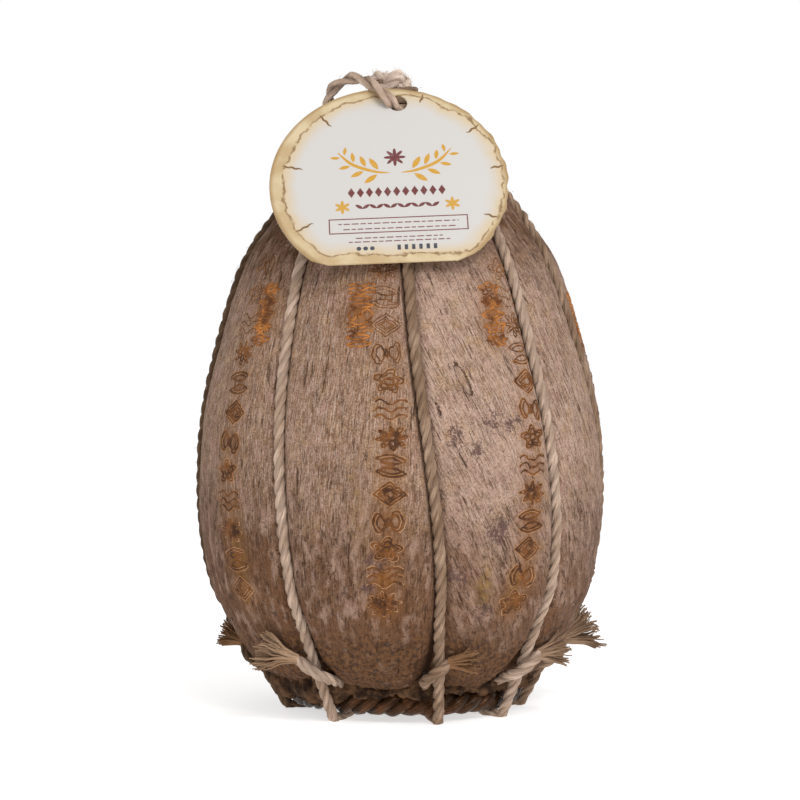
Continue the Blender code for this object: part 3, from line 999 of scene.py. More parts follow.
def motifs():
    """Each motif as (closed, points) lines in a box that is one unit wide and one high."""
    lozenge = [(-0.5, 0.0), (0.0, 0.48), (0.5, 0.0), (0.0, -0.48)]
    small = [(x * 0.5, y * 0.5) for x, y in lozenge]
    star = ring_of(lambda angle: 0.34 + 0.15 * math.cos(8.0 * angle), 48)
    rosette = ring_of(lambda angle: 0.38 + 0.11 * math.cos(5.0 * angle), 40, 0.3)
    core = ring_of(lambda angle: 0.15, 12)
    leaves = [leaf((-0.02, 0.26), 0.46, 0.17), leaf((0.02, -0.26), 0.46, 0.17)]
    waves = [wave(0.3, 0.1), wave(0.0, 0.1), wave(-0.3, 0.1)]
    drops = [leaf((-0.28, 0.0), 0.2, 0.4), leaf((0.28, 0.0), 0.2, 0.4), leaf((0.0, 0.0), 0.06, 0.2)]
    return (
        [(True, lozenge), (True, small)],
        [(True, line) for line in leaves],
        [(True, star), (True, core)],
        [(False, line) for line in waves],
        [(True, rosette), (True, core)],
        [(True, line) for line in drops],
    )


MOTIFS = motifs()
print("motifs:", len(MOTIFS))

# %% Lines of the marks on the rind
DARK_SIZES = (1.0, 0.72)
PALE_SIZES = (1.14, 0.86)
STAMP_COUNT = 5
STAMP_PITCH = 5.3
STAMP_ACROSS = 11.0
STAMP_TALL = 5.6
FAINT_SHARE = 0.4
FAINT_BAND = (125.0, 185.0)
CLEAR_OF_RIND = 2.0
SIDE_FOOT = 45.0
OUTLINE = outline_rows(240)


def side_radius(height):
    """The lobes' radius at a height on the side."""
    side = OUTLINE[OUTLINE[:, 1] > SIDE_FOOT]
    return np.interp(height, side[::-1, 1], side[::-1, 0])


def laid(points, azimuth, height, width, tall, lean):
    """Flat points laid on the side of the cheese round an azimuth and a height."""
    spots = []
    for x, y in points:
        across = width * x - lean * tall * y
        level = height + tall * y + lean * width * x
        radius = side_radius(level)
        spots.append(place(azimuth + across / radius, radius + CLEAR_OF_RIND, level))
    return np.array(spots)


def mark_lines(sizes):
    """Every line of every mark at some sizes, with its share of the full thickness."""
    lines = []
    for number, row in enumerate(MARK_ROWS):
        for step, (azimuth, height) in enumerate(mark_places(row)):
            motif = MOTIFS[(step + 2 * number) % len(MOTIFS)]
            share = 1.0 - (1.0 - FAINT_SHARE) * smoothstep(*FAINT_BAND, height)
            lean = 0.12 * math.sin(2.1 * step + number)
            for closed, points in motif:
                for size in sizes if closed else sizes[:1]:
                    shape = [(x * size, y * size) for x, y in points]
                    spots = laid(shape, azimuth, height, MARK_WIDTH, MARK_HEIGHT, lean)
                    lines.append((closed, spots, share))
    return lines


def stamp_lines():
    """The lines of each stamp: five small motifs, close together."""
    lines = []
    for number, (azimuth, height) in enumerate(STAMPS):
        azimuth = math.radians(azimuth)
        for step in range(STAMP_COUNT):
            motif = MOTIFS[(step * 2 + number) % len(MOTIFS)]
            level = height + STAMP_PITCH * (step - 0.5 * (STAMP_COUNT - 1))
            for closed, points in motif:
                lines.append((closed, laid(points, azimuth, level, STAMP_ACROSS, STAMP_TALL, 0.05), 1.0))
    return lines


def line_path(name, lines):
    """A curve object with one spline for each line, in metres."""
    path = bpy.data.curves.new(name, "CURVE")
    path.dimensions = "3D"
    for closed, spots, share in lines:
        spline = path.splines.new("POLY")
        spline.points.add(len(spots) - 1)
        spline.use_cyclic_u = closed
        spline.points.foreach_set("co", np.hstack([spots * MM, np.ones((len(spots), 1))]).ravel())
        spline.points.foreach_set("radius", np.full(len(spots), share) if np.isscalar(share) else share)
    return set_out(name, path)


def pressed_tree():
    given = start_tree("pressed marks", {
        "Lines": "Object", "Rind": "Object", "Line radius": 0.0004, "Sink": 0.0, "Step": 0.0007,
        "Material": "Material",
    })
    rind = form_of(given["Rind"])
    nearest = add("GeometryNodeProximity", {0: rind}, target_element="FACES")["Position"]
    wires = {"Mesh": rind, "Value": outward()}
    facing = add("GeometryNodeSampleNearestSurface", wires, data_type="FLOAT_VECTOR")[0]
    spot = vectors("ADD", nearest, scaled(facing, given["Sink"] * -1.0))
    lines = shifted(evenly(form_of(given["Lines"]), given["Step"]), Position=spot)
    wobble = ramp(noise(spot, 500.0, 2.0), 0.3, 0.7, 0.6, 1.25)
    size = add("GeometryNodeInputRadius")[0] * given["Line radius"] * wobble
    return end_form(sweep(lines, circle(6), size), given["Material"])


def mark_finish(name, first, second, shine=0.3):
    material, shader, where = new_material(name, 0.9 - shine, Specular_IOR_Level=shine)
    colour = blend(ramp(noise(where, 180.0, 4.0), 0.35, 0.65), first, second)
    surface(shader, colour, noise(where, 900.0, 3.0), 0.4, 0.0003)
    return material


# The ochre lines also carry painted shade of their groove; the pale edge lines are a painted highlight along
# the raised edge
OCHRE_AND_SHADE_FINISH = mark_finish("mark_ochre_and_shade", paint(66, 34, 8), paint(124, 74, 28))
EDGE_HIGHLIGHT_FINISH = mark_finish("mark_edge_highlight", paint(146, 98, 52), paint(176, 138, 104))
STAMP_FINISH = mark_finish("stamp_brown", paint(96, 52, 16), paint(182, 116, 54))
PRESSED = pressed_tree()


def press(name, lines, radius, sink, finish):
    """One piece of pressed lines, laid on the rind."""
    path = line_path(name + "_path", lines)
    values = {"Lines": path, "Rind": RIND, "Line radius": radius * MM, "Sink": sink * MM, "Material": finish}
    piece = grow(name, PRESSED, values)
    bpy.data.objects.remove(path, do_unlink=True)
    keep(piece, "rind")


# Ochre lines with painted shade, pale lines as a painted highlight beside them, then the stamps
press("marks", mark_lines(DARK_SIZES), 0.44, 0.02, OCHRE_AND_SHADE_FINISH)
press("mark_edges", mark_lines(PALE_SIZES), 0.24, 0.05, EDGE_HIGHLIGHT_FINISH)
press("stamps", stamp_lines(), 0.5, 0.0, STAMP_FINISH)

# %% [markdown]
# ## Twisted cords
#
# The cords are three-strand twine with a right-hand lay. A rope could be modelled strand by
# strand, but a rule is simpler: copy the cord's path once for each strand, push each copy out
# sideways by an angle that grows along the path, and sweep a round section along it. One tree
# makes every rope here. Where a path's radius is under 1, the rope is pressed thinner.
#
# Stray fibres are scattered over the strands and stand up from them, as on worn twine.

# %% Rope tree
ROPE_INPUTS = {
    "Path": "Object", "Turns": 10.0, "Strands": 3, "Strand radius": 0.00125, "Strand offset": 0.00125,
    "Step": 0.001, "Sides": 9, "Fibres per area": 40000.0, "Fibre length": 0.003, "Seed": 1,
    "Material": "Material",
}
FIBRE_RADIUS = 0.00006
# Nothing sinks below this level, so a rope lies flat where it meets the floor
FLOOR_CLEARANCE = 0.0001


def stray_fibres(body, density, length, seed):
    """Short curved fibres that stand up from a surface."""
    arc = add("GeometryNodeCurveQuadraticBezier", {
        "Resolution": 4, "Start": (0.0, 0.0, -0.1), "Middle": (0.0, 0.0, 0.35), "End": (0.75, 0.0, 0.5),
    })[0]
    hair = sweep(arc, circle(3), FIBRE_RADIUS / length, False)
    size = length * chance(0.35, 1.0, 5)
    return strewn(sprinkled(body, density, seed), hair, 6, combined(size, size, size))


def rope_tree():
    given = start_tree("twisted rope", ROPE_INPUTS)
    copies = copied(evenly(form_of(given["Path"]), given["Step"]), given["Strands"])
    number = copies["Duplicate Index"]
    spline = add("GeometryNodeSplineParameter")
    pressed = add("GeometryNodeInputRadius")[0]
    angle = (spline["Factor"] * given["Turns"] + number / given["Strands"]) * TAU
    normal = outward()
    side = vectors("CROSS_PRODUCT", add("GeometryNodeInputTangent")[0], normal)
    swing = vectors(
        "ADD", scaled(normal, reckon("COSINE", angle)), scaled(side, reckon("SINE", angle))
    )
    laid_up = shifted(copies[0], Offset=scaled(swing, pressed * given["Strand offset"]))
    marked = noted(laid_up, "along", spline["Length"] + number * 0.37)
    marked = noted(marked, "swing", swing, "FLOAT_VECTOR")
    where = here()
    section = noted(circle(given["Sides"]), "yarn", where, "FLOAT_VECTOR")
    uneven = ramp(noise(where, 260.0, 3.0), 0.25, 0.75, 0.86, 1.14)
    swept = sweep(marked, section, pressed * given["Strand radius"] * uneven)
    # Painted shade: how deep a point lies between two strands, for the finishes to darken
    gap = ramp(dot(normal, named("swing", "FLOAT_VECTOR")), 0.4, -0.05)
    swept = noted(swept, "gap", gap)
    fuzz = stray_fibres(swept, given["Fibres per area"], given["Fibre length"], given["Seed"])
    joined = add("GeometryNodeJoinGeometry")
    lead(swept, joined.node, 0)
    lead(fuzz, joined.node, 0)
    real = add("GeometryNodeRealizeInstances", {0: joined[0]})[0]
    above = vectors("MAXIMUM", where, (-1.0, -1.0, FLOOR_CLEARANCE))
    return end_form(smoothed(shifted(real, Position=above)), given["Material"])


ROPE = rope_tree()
print("rope tree inputs:", list(ROPE_INPUTS))

# %% [markdown]
# ## Finish of the twine
#
# Old twine is dusty: grey-beige on top of each strand, and painted shade makes it darker brown
# between the strands. Fine fibres run along the strands. The rope tree stored how far along the
# strand a point is and where it is round the strand's section. Together they give a direction that
# follows every twist. It also stored how deep a point lies between two strands, where the finish
# paints shade.

# %% Twine finish
# Colour of the dusty top and of the shaded side of each twine
TWINE_COLOURS = {
    "grey": ((196, 166, 142), (136, 106, 80)),
    "pale": ((226, 200, 180), (180, 150, 126)),
    "brown": ((134, 104, 76), (86, 62, 42)),
    "blond": ((222, 188, 156), (170, 132, 100)),
    "ochre": ((184, 140, 100), (130, 90, 56)),
    "dusty": ((206, 172, 142), (150, 116, 88)),
    "knot": ((255, 238, 222), (230, 202, 182)),
}


def strand_way(width):
    """A direction that follows every twist of a strand."""
    section = scaled(attribute("yarn", "Vector"), width)
    return vectors("ADD", section, combined(0.0, 0.0, attribute("along")))


def twine_finish(name, dusty, shaded):
    material, shader, where = new_material(name, 0.85, Specular_IOR_Level=0.3)
    strand = strand_way(0.004)
    fibres = streak_mask(strand, 900.0, 0.09, 0.36, 0.62)
    clumps = streak_mask(strand, 420.0, 0.12, 0.42, 0.6)
    # Dark for the fibre lines, and painted shade between the strands
    dark = [channel * 0.45 for channel in shaded[:3]] + [1.0]
    colour = layered(
        shaded,
        (ramp(noise(where, 90.0, 4.0), 0.3, 0.7, 0.15, 1.0), dusty),
        (fibres * 0.42, dark),
        (clumps * 0.3, shaded),
        (attribute("gap") * 0.42, dark),
    )
    surface(shader, colour, fibres * -1.0 + clumps * -0.7, 0.7, 0.0004)
    return material


TWINE = {}
for name, (dusty, shaded) in TWINE_COLOURS.items():
    TWINE[name] = twine_finish("twine_" + name, paint(*dusty), paint(*shaded))
print("twine finishes:", sorted(TWINE))

# %% [markdown]
# ## The cords' way
#
# Each cord comes down the bundle, out over the crown, down its groove, round the ring and back up
# beside itself. The stations are those of the solids.

# %% Cord routes
CORD_LIFT = 2.55
GAP = 0.3
CORD_RADIUS = 2.4
FIRST_GROOVE_ROW = 2
LAST_GROOVE_HEIGHT = 36.0
SOLID_ROWS = 30
BUNDLE_BASE = 252.0
BUNDLE_TOP = 280.5
BUNDLE_LEAN = -5.0
# Radius, height and share of the thickness
BUNDLE_STATIONS = (
    (5.6, 277.5, 0.8), (5.6, 271.0, 0.8), (5.6, 262.5, 0.8), (7.0, 258.4, 0.8), (12.0, 256.4, 0.9),
)
RING_RADIUS = 46.5
RING_TUBE = 5.3
RING_HEIGHT = 8.4
RING_CENTRE_X = 2.0
WRAP_ANGLES = (-36, -62, -90, -118, -148, -180, -210, -236, -260)
PRESSES = ((-90.0, 0.58), (-262.0, 0.62))
# How much of the solid's pressing shows in the thickness of the soft rope
SOFT_SHARE = 0.45
PRESSED_ARC = 38.0
WRAP_SHIFT = 2.9
SHIFT_ANGLES = (-90.0, -236.0)
# Radius, height, sideways shift, share of the ring's offset, share of the thickness
RETURN_STATIONS = (
    (52.3, 16.3, -3.0, 0.9, 0.8), (58.3, 18.8, -3.6, 0.7, 0.95), (64.5, 20.6, -4.6, 0.5, 1.0),
    (69.6, 23.2, -2.6, 0.3, 1.0), (71.4, 26.0, 1.4, 0.2, 1.0), (71.4, 29.0, 5.2, 0.1, 1.0),
)
# The first cord's end lies nearer to the rind than the others do, by so much
HUGS = {0: 3.6}

# The order in which a rope's sizes are given
SIZE_NAMES = (
    "Strands", "Strand radius", "Strand offset", "Step", "Sides", "Fibres per area", "Fibre length",
)


def bundle_axis(height):
    share = max((height - BUNDLE_BASE) / (BUNDLE_TOP - BUNDLE_BASE), 0.0)
    return np.array((BUNDLE_LEAN * share, 0.0, 0.0))


def cord_stations(index, side):
    """A cord's stations in millimetres, each with its share of the thickness."""
    stations = []
    for radius, height, factor in BUNDLE_STATIONS:
        spot = place(cord_azimuth(index, BUNDLE_TOP), radius, height) + bundle_axis(height)
        stations.append((*spot, factor))
    for radius, height, depth, _, out, up in outline_rows(SOLID_ROWS)[FIRST_GROOVE_ROW:]:
        if height < LAST_GROOVE_HEIGHT:
            break
        lift = CORD_LIFT - depth
        spot = place(cord_azimuth(index, height), radius + lift * out, height + lift * up)
        stations.append((*spot, 1.0))
    azimuth = cord_azimuth(index, 0.0)
    centre = np.array((RING_CENTRE_X, 0.0, 0.0))
    for angle in WRAP_ANGLES:
        factor = 1.0
        for middle, left in PRESSES:
            factor -= (1.0 - left) * math.exp(-((angle - middle) / PRESSED_ARC) ** 2)
        reach = RING_TUBE + GAP + CORD_RADIUS * factor
        radius = RING_RADIUS + reach * math.cos(math.radians(angle))
        height = RING_HEIGHT + reach * math.sin(math.radians(angle))
        shift = side * WRAP_SHIFT * (1.0 - 2.0 * smoothstep(*SHIFT_ANGLES, angle))
        thickness = 1.0 - (1.0 - factor) * SOFT_SHARE
        stations.append((*(place(azimuth, radius, height, shift) + centre), thickness))
    for radius, height, shift, share, factor in RETURN_STATIONS:
        spot = place(azimuth, radius - HUGS.get(index, 0.0) * (1.0 - share), height, side * shift)
        stations.append((*(spot + centre * share), factor))
    return stations


def way_length(points):
    return float(np.linalg.norm(np.diff(points[:, :3], axis=0), axis=1).sum())


def lay_rope(name, way, closed, lay, sizes, seed, material):
    """A rope along rows of place and thickness share, with a whole number of turns.

    Rows without a share have the full thickness. A lay under nought twists to the left.
    """
    if way.shape[1] == 3:
        way = np.hstack([way, np.ones((len(way), 1))])
    path = line_path(name + "_path", [(closed, way[:, :3], way[:, 3])])
    turns = float(round(way_length(way) / lay))
    values = {"Path": path, "Turns": turns, "Seed": seed, "Material": material}
    piece = grow(name, ROPE, {**values, **dict(zip(SIZE_NAMES, sizes))})
    bpy.data.objects.remove(path, do_unlink=True)
    return piece


print("a cord's stations:", len(cord_stations(0, 1)))

# %% [markdown]
# ## Frayed ends
#
# At its end each cord opens into a brush of fibres. The brush is grown by a tree: one straight
# fibre is copied, each copy belongs to one of a few yarns, and the copies spread out from the
# root along a fan that is wide one way and narrow the other. Every fibre tapers and wavers.

# %% Brush tree
BRUSH_INPUTS = {
    "Length": 0.02, "Root radius": 0.0021, "Fan": 0.5, "Flatness": 0.4, "Fibres": 60, "Yarns": 7,
    "Fibre radius": 0.00066, "Waver": 0.12, "Seed": 1, "Material": "Material",
}


def brush_tree():
    given = start_tree("frayed brush", BRUSH_INPUTS)
    seed = given["Seed"]
    wires = {"Start": (0.0, 0.0, 0.0), "End": combined(0.0, 0.0, given["Length"])}
    line = add("GeometryNodeCurvePrimitiveLine", wires)[0]
    steps = add("GeometryNodeResampleCurve", {"Curve": line, "Count": 9})[0]
    copies = copied(steps, given["Fibres"])
    number = copies["Duplicate Index"]
    share = add("GeometryNodeSplineParameter")["Factor"]
    spread = given["Fan"] * given["Length"] * share ** 1.35

    def aside(angle, reach, root, fan):
        """Sideways place of a yarn or a fibre: its root in the cord plus its part of the fan."""
        start = given["Root radius"] * root
        grown = spread * fan
        wide = (start + grown) * reach
        narrow = (start + grown * given["Flatness"]) * reach
        return combined(reckon("COSINE", angle) * narrow, reckon("SINE", angle) * wide, 0.0)

    yarn = reckon("FLOORED_MODULO", number, given["Yarns"])
    yarn_place = aside(yarn / given["Yarns"] * TAU, chance(0.25, 1.0, seed, yarn), 0.62, 0.9)
    reach = reckon("SQRT", chance(0.0, 1.0, seed + 23.0, number))
    fibre_place = aside(chance(0.0, TAU, seed + 11.0, number), reach, 0.42, 0.2)
    ahead = given["Length"] * chance(0.68, 1.0, seed + 37.0, number) * share
    base = vectors("ADD", vectors("ADD", yarn_place, fibre_place), combined(0.0, 0.0, ahead))
    away = vectors("ADD", base, combined(0.0, 0.0, yarn * 0.05))
    swirl = add("ShaderNodeTexNoise", {"Vector": away, "Scale": 110.0, "Detail": 2.0})[1]
    swirl = vectors("SUBTRACT", swirl, (0.5, 0.5, 0.5))
    spot = vectors("ADD", base, scaled(swirl, given["Waver"] * given["Length"] * share))
    marked = noted(shifted(copies[0], Position=spot), "along", ahead + number * 0.37)
    section = noted(circle(5), "yarn", here(), "FLOAT_VECTOR")
    thickness = given["Fibre radius"] * chance(0.6, 1.2, seed + 51.0, number)
    swept = sweep(marked, section, ramp(share, 0.0, 1.0, 1.15, 0.45) * thickness)
    return end_form(smoothed(swept), given["Material"])


BRUSH = brush_tree()
print("brush tree inputs:", list(BRUSH_INPUTS))

# %% [markdown]
# ## Eight cords with their brushes
#
# Each cord's brush has its own length, fan and colour. The blond fan at the left front is the
# fullest, the one at the left edge is a short brown stub, and the right one is wide and spiky.

# %% Cords
CORD_STEP = 1.6
CORD_LAY = 18.5
CORD_SIZES = (3, 0.00132, 0.00116, 0.001, 10, 110000.0, 0.0022)
# Side of the cord, length, direction as outward, sideways and up, fan, flatness, fibres,
# the cord's twine and the brush's twine
CORDS = (
    (-1, 12.5, (0.85, 0.3, 0.3), 0.42, 0.9, 90, "brown", "ochre"),
    (-1, 19.5, (0.55, 0.9, 0.2), 0.46, 0.5, 80, "pale", "blond"),
    (1, 14.0, (0.6, 0.9, 0.1), 0.28, 0.5, 50, "grey", "ochre"),
    (1, 15.0, (0.6, 0.9, 0.2), 0.45, 0.5, 60, "pale", "dusty"),
    (1, 18.0, (0.95, 0.1, 0.42), 0.66, 0.5, 130, "grey", "dusty"),
    (1, 17.0, (0.6, 0.85, 0.15), 0.45, 0.4, 60, "pale", "ochre"),
    (-1, 19.0, (0.6, 0.9, 0.2), 0.5, 0.4, 70, "grey", "blond"),
    (1, 15.0, (0.6, 0.85, 0.2), 0.45, 0.4, 60, "brown", "ochre"),
)


def brush_frame(azimuth, side, direction, root):
    """Where a brush stands: its third axis points ahead and its second axis is the fan's."""
    ahead = Vector(place(azimuth, direction[0], direction[2], side * direction[1])).normalized()
    across = ahead.cross(Vector((0.0, 0.0, 1.0))).normalized()
    above = across.cross(ahead)
    turn = Matrix((across, above, ahead)).transposed().to_4x4()
    return Matrix.Translation(Vector(root) * MM) @ turn


def make_cord(index):
    side, length, direction, fan, flatness, fibres, twine, brush_twine = CORDS[index]
    name = "cord_" + str(index + 1)
    stations = np.array(cord_stations(index, side))
    way = smooth_curve(stations, int(way_length(stations) / CORD_STEP), space=3)
    rope = lay_rope(name + "_rope", way, False, CORD_LAY, CORD_SIZES, index, TWINE[twine])
    keep(rope, "twine", name)
    values = {
        "Length": length * MM, "Fan": fan, "Flatness": flatness, "Fibres": fibres, "Waver": 0.34,
        "Seed": 100 + index, "Material": TWINE[brush_twine],
    }
    brush = grow(name + "_brush", BRUSH, values)
    brush.data.transform(brush_frame(cord_azimuth(index, 0.0), side, direction, way[-1, :3]))
    keep(brush, "twine", name)


for index in range(len(CORDS)):
    make_cord(index)

# %% [markdown]
# ## The rope ring
#
# The ring is a thick three-strand rope, soaked with the cheese's fat, so it is dark brown and
# shines in short arcs along each strand. The same rope tree makes it from a circle. Its lay is
# to the left, against the cords' lay.

# %% Rope ring
RING_LAY = -22.5
RING_SIZES = (3, 0.00262, 0.00268, 0.001, 14, 6000.0, 0.002)


def ring_finish():
    material, shader, where = new_material(
        "waxed_rope_finish", 0.34, Specular_IOR_Level=0.3, Specular_Tint=paint(232, 190, 146),
        Coat_Weight=0.2, Coat_IOR=1.35, Coat_Roughness=0.12,
    )
    fibres = streak_mask(strand_way(0.006), 700.0, 0.1, 0.4, 0.62)
    # The darkest brown is for darker fibres and for painted shade between the strands
    colour = layered(
        paint(54, 29, 13),
        (ramp(noise(where, 120.0, 4.0), 0.35, 0.7), paint(108, 68, 40)),
        (reckon("MAXIMUM", fibres * 0.5, attribute("gap") * 0.8), paint(22, 12, 6)),
    )
    lead(ramp(noise(where, 300.0, 3.0), 0.35, 0.65, 0.24, 0.6), shader, "Roughness")
    surface(shader, colour, noise(where, 420.0, 3.0) - fibres, 0.8, 0.0009)
    return material


def make_ring():
    turns = np.arange(180) / 180.0 * TAU
    way = place(turns, RING_RADIUS, RING_HEIGHT) + np.array((RING_CENTRE_X, 0.0, 0.0))
    return lay_rope("ring_rope", way, True, RING_LAY, RING_SIZES, 40, ring_finish())


keep(make_ring(), "waxed_rope", "base_ring")

# %% [markdown]
# ## Bundle and tag cord
#
# Above the crown the cords stand together. Three turns of thin cord hold them, and their cut ends
# open into a rough, fuzzy lump. A softer two-strand cord loops round the bundle, comes forward over
# the card's edge and goes through its hole.

# %% Bundle, binding and tag cord
BINDING_REACH = 5.6 + 2.4 * 0.8 + 0.7 + 1.7
BINDING_TURNS = 3
BINDING_PITCH = 3.9
BINDING_START = 263.0
TAG_CORD_ROUTE = (
    (-2.6, -30.4, 262.9), (-4.2, -33.8, 265.2), (-7.4, -32.8, 268.6), (-11.5, -29.0, 272.0),
    (-16.2, -22.0, 275.0), (-22.2, -14.8, 275.8), (-28.5, -8.0, 272.6), (-31.5, -1.5, 267.8),
    (-29.0, 6.0, 263.8), (-20.5, 12.0, 262.4), (-10.0, 15.6, 262.0), (1.0, 15.6, 262.0),
    (10.5, 10.4, 262.0), (13.8, 1.0, 262.2), (11.0, -10.0, 262.2), (6.0, -19.5, 261.8),
    (1.6, -26.4, 261.4),
)
# Lay, seed, twine and sizes of each rope
BUNDLE_ROPES = {
    "binding_rope": (14.0, 50, "grey", (3, 0.0009, 0.00082, 0.0009, 8, 60000.0, 0.003)),
    "tag_cord_rope": (30.0, 60, "pale", (2, 0.00142, 0.00132, 0.001, 12, 60000.0, 0.003)),
    "knot_rope": (15.0, 70, "knot", (3, 0.0016, 0.0014, 0.0009, 9, 600000.0, 0.0026)),
    "bundle_core": (60.0, 80, "pale", (6, 0.0019, 0.0034, 0.001, 10, 30000.0, 0.0025)),
}
END_LENGTH = 3.6
END_RADIUS = 4.2
END_HEIGHT = 274.6
KNOT_CENTRE = (-4.0, -3.4, 274.6)
KNOT_SPREAD = 2.5
KNOT_RISE = 2.6


def bundle_rope(name, way, closed):
    lay, seed, twine, sizes = BUNDLE_ROPES[name]
    return lay_rope(name, way, closed, lay, sizes, seed, TWINE[twine])


def make_binding():
    angles = np.radians(np.arange(0, 360 * BINDING_TURNS + 1, 12))
    heights = BINDING_START + BINDING_PITCH * angles / TAU
    way = place(angles, BINDING_REACH, heights)
    way = way + np.array([bundle_axis(height) for height in heights])
    return bundle_rope("binding_rope", way, False)


def make_tag_cord():
    way = smooth_curve(TAG_CORD_ROUTE, 150, space=3, closed=True)
    return bundle_rope("tag_cord_rope", way, True)


def make_knot():
    """The ends of the binding cord, tied in a fuzzy overhand knot on top of the bundle."""
    turn = np.arange(72) / 72.0 * TAU
    way = np.stack([
        KNOT_SPREAD * (np.sin(turn) + 2.0 * np.sin(2.0 * turn)),
        KNOT_SPREAD * (np.cos(turn) - 2.0 * np.cos(2.0 * turn)),
        -KNOT_RISE * np.sin(3.0 * turn),
    ], axis=1) + KNOT_CENTRE
    return bundle_rope("knot_rope", way, True)


def make_core():
    """The inner yarns of the bundle, which close the gaps between its cords."""
    heights = np.linspace(BUNDLE_BASE, KNOT_CENTRE[2], 12)
    way = np.array([bundle_axis(height) + (0.0, 0.0, height) for height in heights])
    return bundle_rope("bundle_core", way, False)


def make_ends():
    """The cords' upper ends: each opens into a short brush that leans outward."""
    brushes = []
    for index in range(len(CORDS)):
        azimuth = cord_azimuth(index, BUNDLE_TOP)
        root = place(azimuth, END_RADIUS, END_HEIGHT) + bundle_axis(END_HEIGHT)
        values = {
            "Length": END_LENGTH * MM, "Root radius": 0.002, "Fan": 0.7, "Flatness": 1.0, "Fibres": 50,
            "Fibre radius": 0.0004, "Waver": 0.9, "Seed": 200 + index, "Material": TWINE["knot"],
        }
        brush = grow("knot_brush", BRUSH, values)
        brush.data.transform(brush_frame(azimuth, 1, (0.45, 0.1, 0.8), root))
        brushes.append(brush)
    with bpy.context.temp_override(active_object=brushes[0], selected_editable_objects=brushes):
        bpy.ops.object.join()
    brushes[0].name = "bundle_ends"
    return brushes[0]


keep(make_binding(), "twine", "binding")
keep(make_tag_cord(), "twine", "tag_cord")
keep(make_knot(), "twine")
keep(make_core(), "twine")
keep(make_ends(), "twine")

# %% [markdown]
# ## The card tag
#
# The tag is a stiff printed card: a disc of about 100 mm with a straight lower edge. Its border is
# printed to look like scorched parchment, with a wavering brown line inside it. The card is a flat
# filled curve with a small bevel. The border is reckoned in the card's own plane, which a Mapping
# node reaches by undoing the card's tilt. The print on it is a plain design of its own: two
# leaf sprigs, rows of lozenges and leaves and a ruled box. Each is a very thin piece on the face.

# %% Card
TAG_RADIUS = 50.0
TAG_THICKNESS = 1.3
TAG_CUT = 39.5
TAG_CENTRE = (-4.6, -54.0, 228.8)
TAG_TILT = math.radians(56.0)
TAG_ROLL = math.radians(2.8)
TAG_CORNER = 4.0
HOLE_RADIUS = 4.2
HOLE_PLACE = (5.7, 42.0)
TAG_TURN = Matrix.Rotation(TAG_TILT, 4, "X") @ Matrix.Rotation(TAG_ROLL, 4, "Z")
TAG_MATRIX = Matrix.Translation(Vector(TAG_CENTRE) * MM) @ TAG_TURN
CARD_BEVEL = 0.2


def card_outline():
    """The disc with its straight cut. The right-hand edge wavers a little, as if torn."""
    half = math.sqrt(TAG_RADIUS ** 2 - TAG_CUT ** 2)
    start = math.atan2(-TAG_CUT, half) + TAG_CORNER / TAG_RADIUS
    sweep = math.pi - 2.0 * start
    points = [(half - TAG_CORNER, -TAG_CUT)]
    for step in range(160):
        angle = start + sweep * step / 159
        torn = max(math.cos(angle), 0.0)
        waver = 0.34 * math.sin(17.0 * angle) + 0.26 * math.sin(41.0 * angle + 1.0)
        radius = TAG_RADIUS + torn * (waver - 0.2)
        points.append((radius * math.cos(angle), radius * math.sin(angle)))
    points.append((-half + TAG_CORNER, -TAG_CUT))
    return points


def flat_shape(name, outlines, lift, thickness, bevel, material):
    """A thin filled shape in the card's plane, lifted off its middle, with its place in its mesh."""
    shape = bpy.data.curves.new(name, "CURVE")
    shape.dimensions = "2D"
    shape.fill_mode = "BOTH"
    shape.extrude = 0.5 * thickness * MM - bevel * MM
    shape.bevel_depth = bevel * MM
    shape.bevel_resolution = 1
    for outline in outlines:
        spline = shape.splines.new("POLY")
        spline.points.add(len(outline) - 1)
        spline.use_cyclic_u = True
        for point, (across, along) in zip(spline.points, outline):
            point.co = (across * MM, along * MM, 0.0, 1.0)
    mesh = plain_mesh(set_out(name, shape))
    mesh.transform(TAG_MATRIX @ Matrix.Translation((0.0, 0.0, lift * MM)))
    mesh.materials.clear()
    mesh.materials.append(material)
    return set_out(name, mesh)


def card_finish():
    material, shader, where = new_material("card_finish", 0.5, Specular_IOR_Level=0.35)
    wires = {"Vector": where, "Location": Vector(TAG_CENTRE) * MM, "Rotation": TAG_TURN.to_euler()}
    flat = add("ShaderNodeMapping", wires, vector_type="TEXTURE")[0]
    parts = add("ShaderNodeSeparateXYZ", {0: flat})
    level = combined(parts[0], parts[1], 0.0)
    radius = add("ShaderNodeVectorMath", {0: level}, operation="LENGTH")["Value"]
    to_rim = TAG_RADIUS * MM - radius
    to_cut = parts[1] + TAG_CUT * MM
    waver = noise(flat, 95.0, 5.0, 0.6) - 0.5
    edge = reckon("SMOOTH_MIN", to_rim, to_cut, 0.004) + waver * 0.0085
    past = edge - (parts[0] * -0.04 + 0.0036)
    border = blend(
        ramp(noise(flat, 60.0, 5.0), 0.35, 0.65), paint(186, 160, 120), paint(206, 188, 152)
    )
    middle = blend(ramp(past, -0.003, 0.0075), paint(204, 178, 132), paint(199, 195, 191))
    line = ramp(reckon("ABSOLUTE", past), 0.0001, 0.0008, 1.0, 0.0)
    line = line * ramp(noise(flat, 400.0, 3.0), 0.25, 0.55)
    colour = layered(
        border,
        (ramp(past, -0.0006, 0.0), middle),
        (line * 0.8, paint(118, 84, 44)),
        (ramp(to_rim + waver * 0.002, 0.0, 0.002, 0.7, 0.0), paint(150, 116, 70)),
    )
    surface(shader, colour, noise(flat, 1500.0, 2.0), 0.08, 0.0002)
    return material


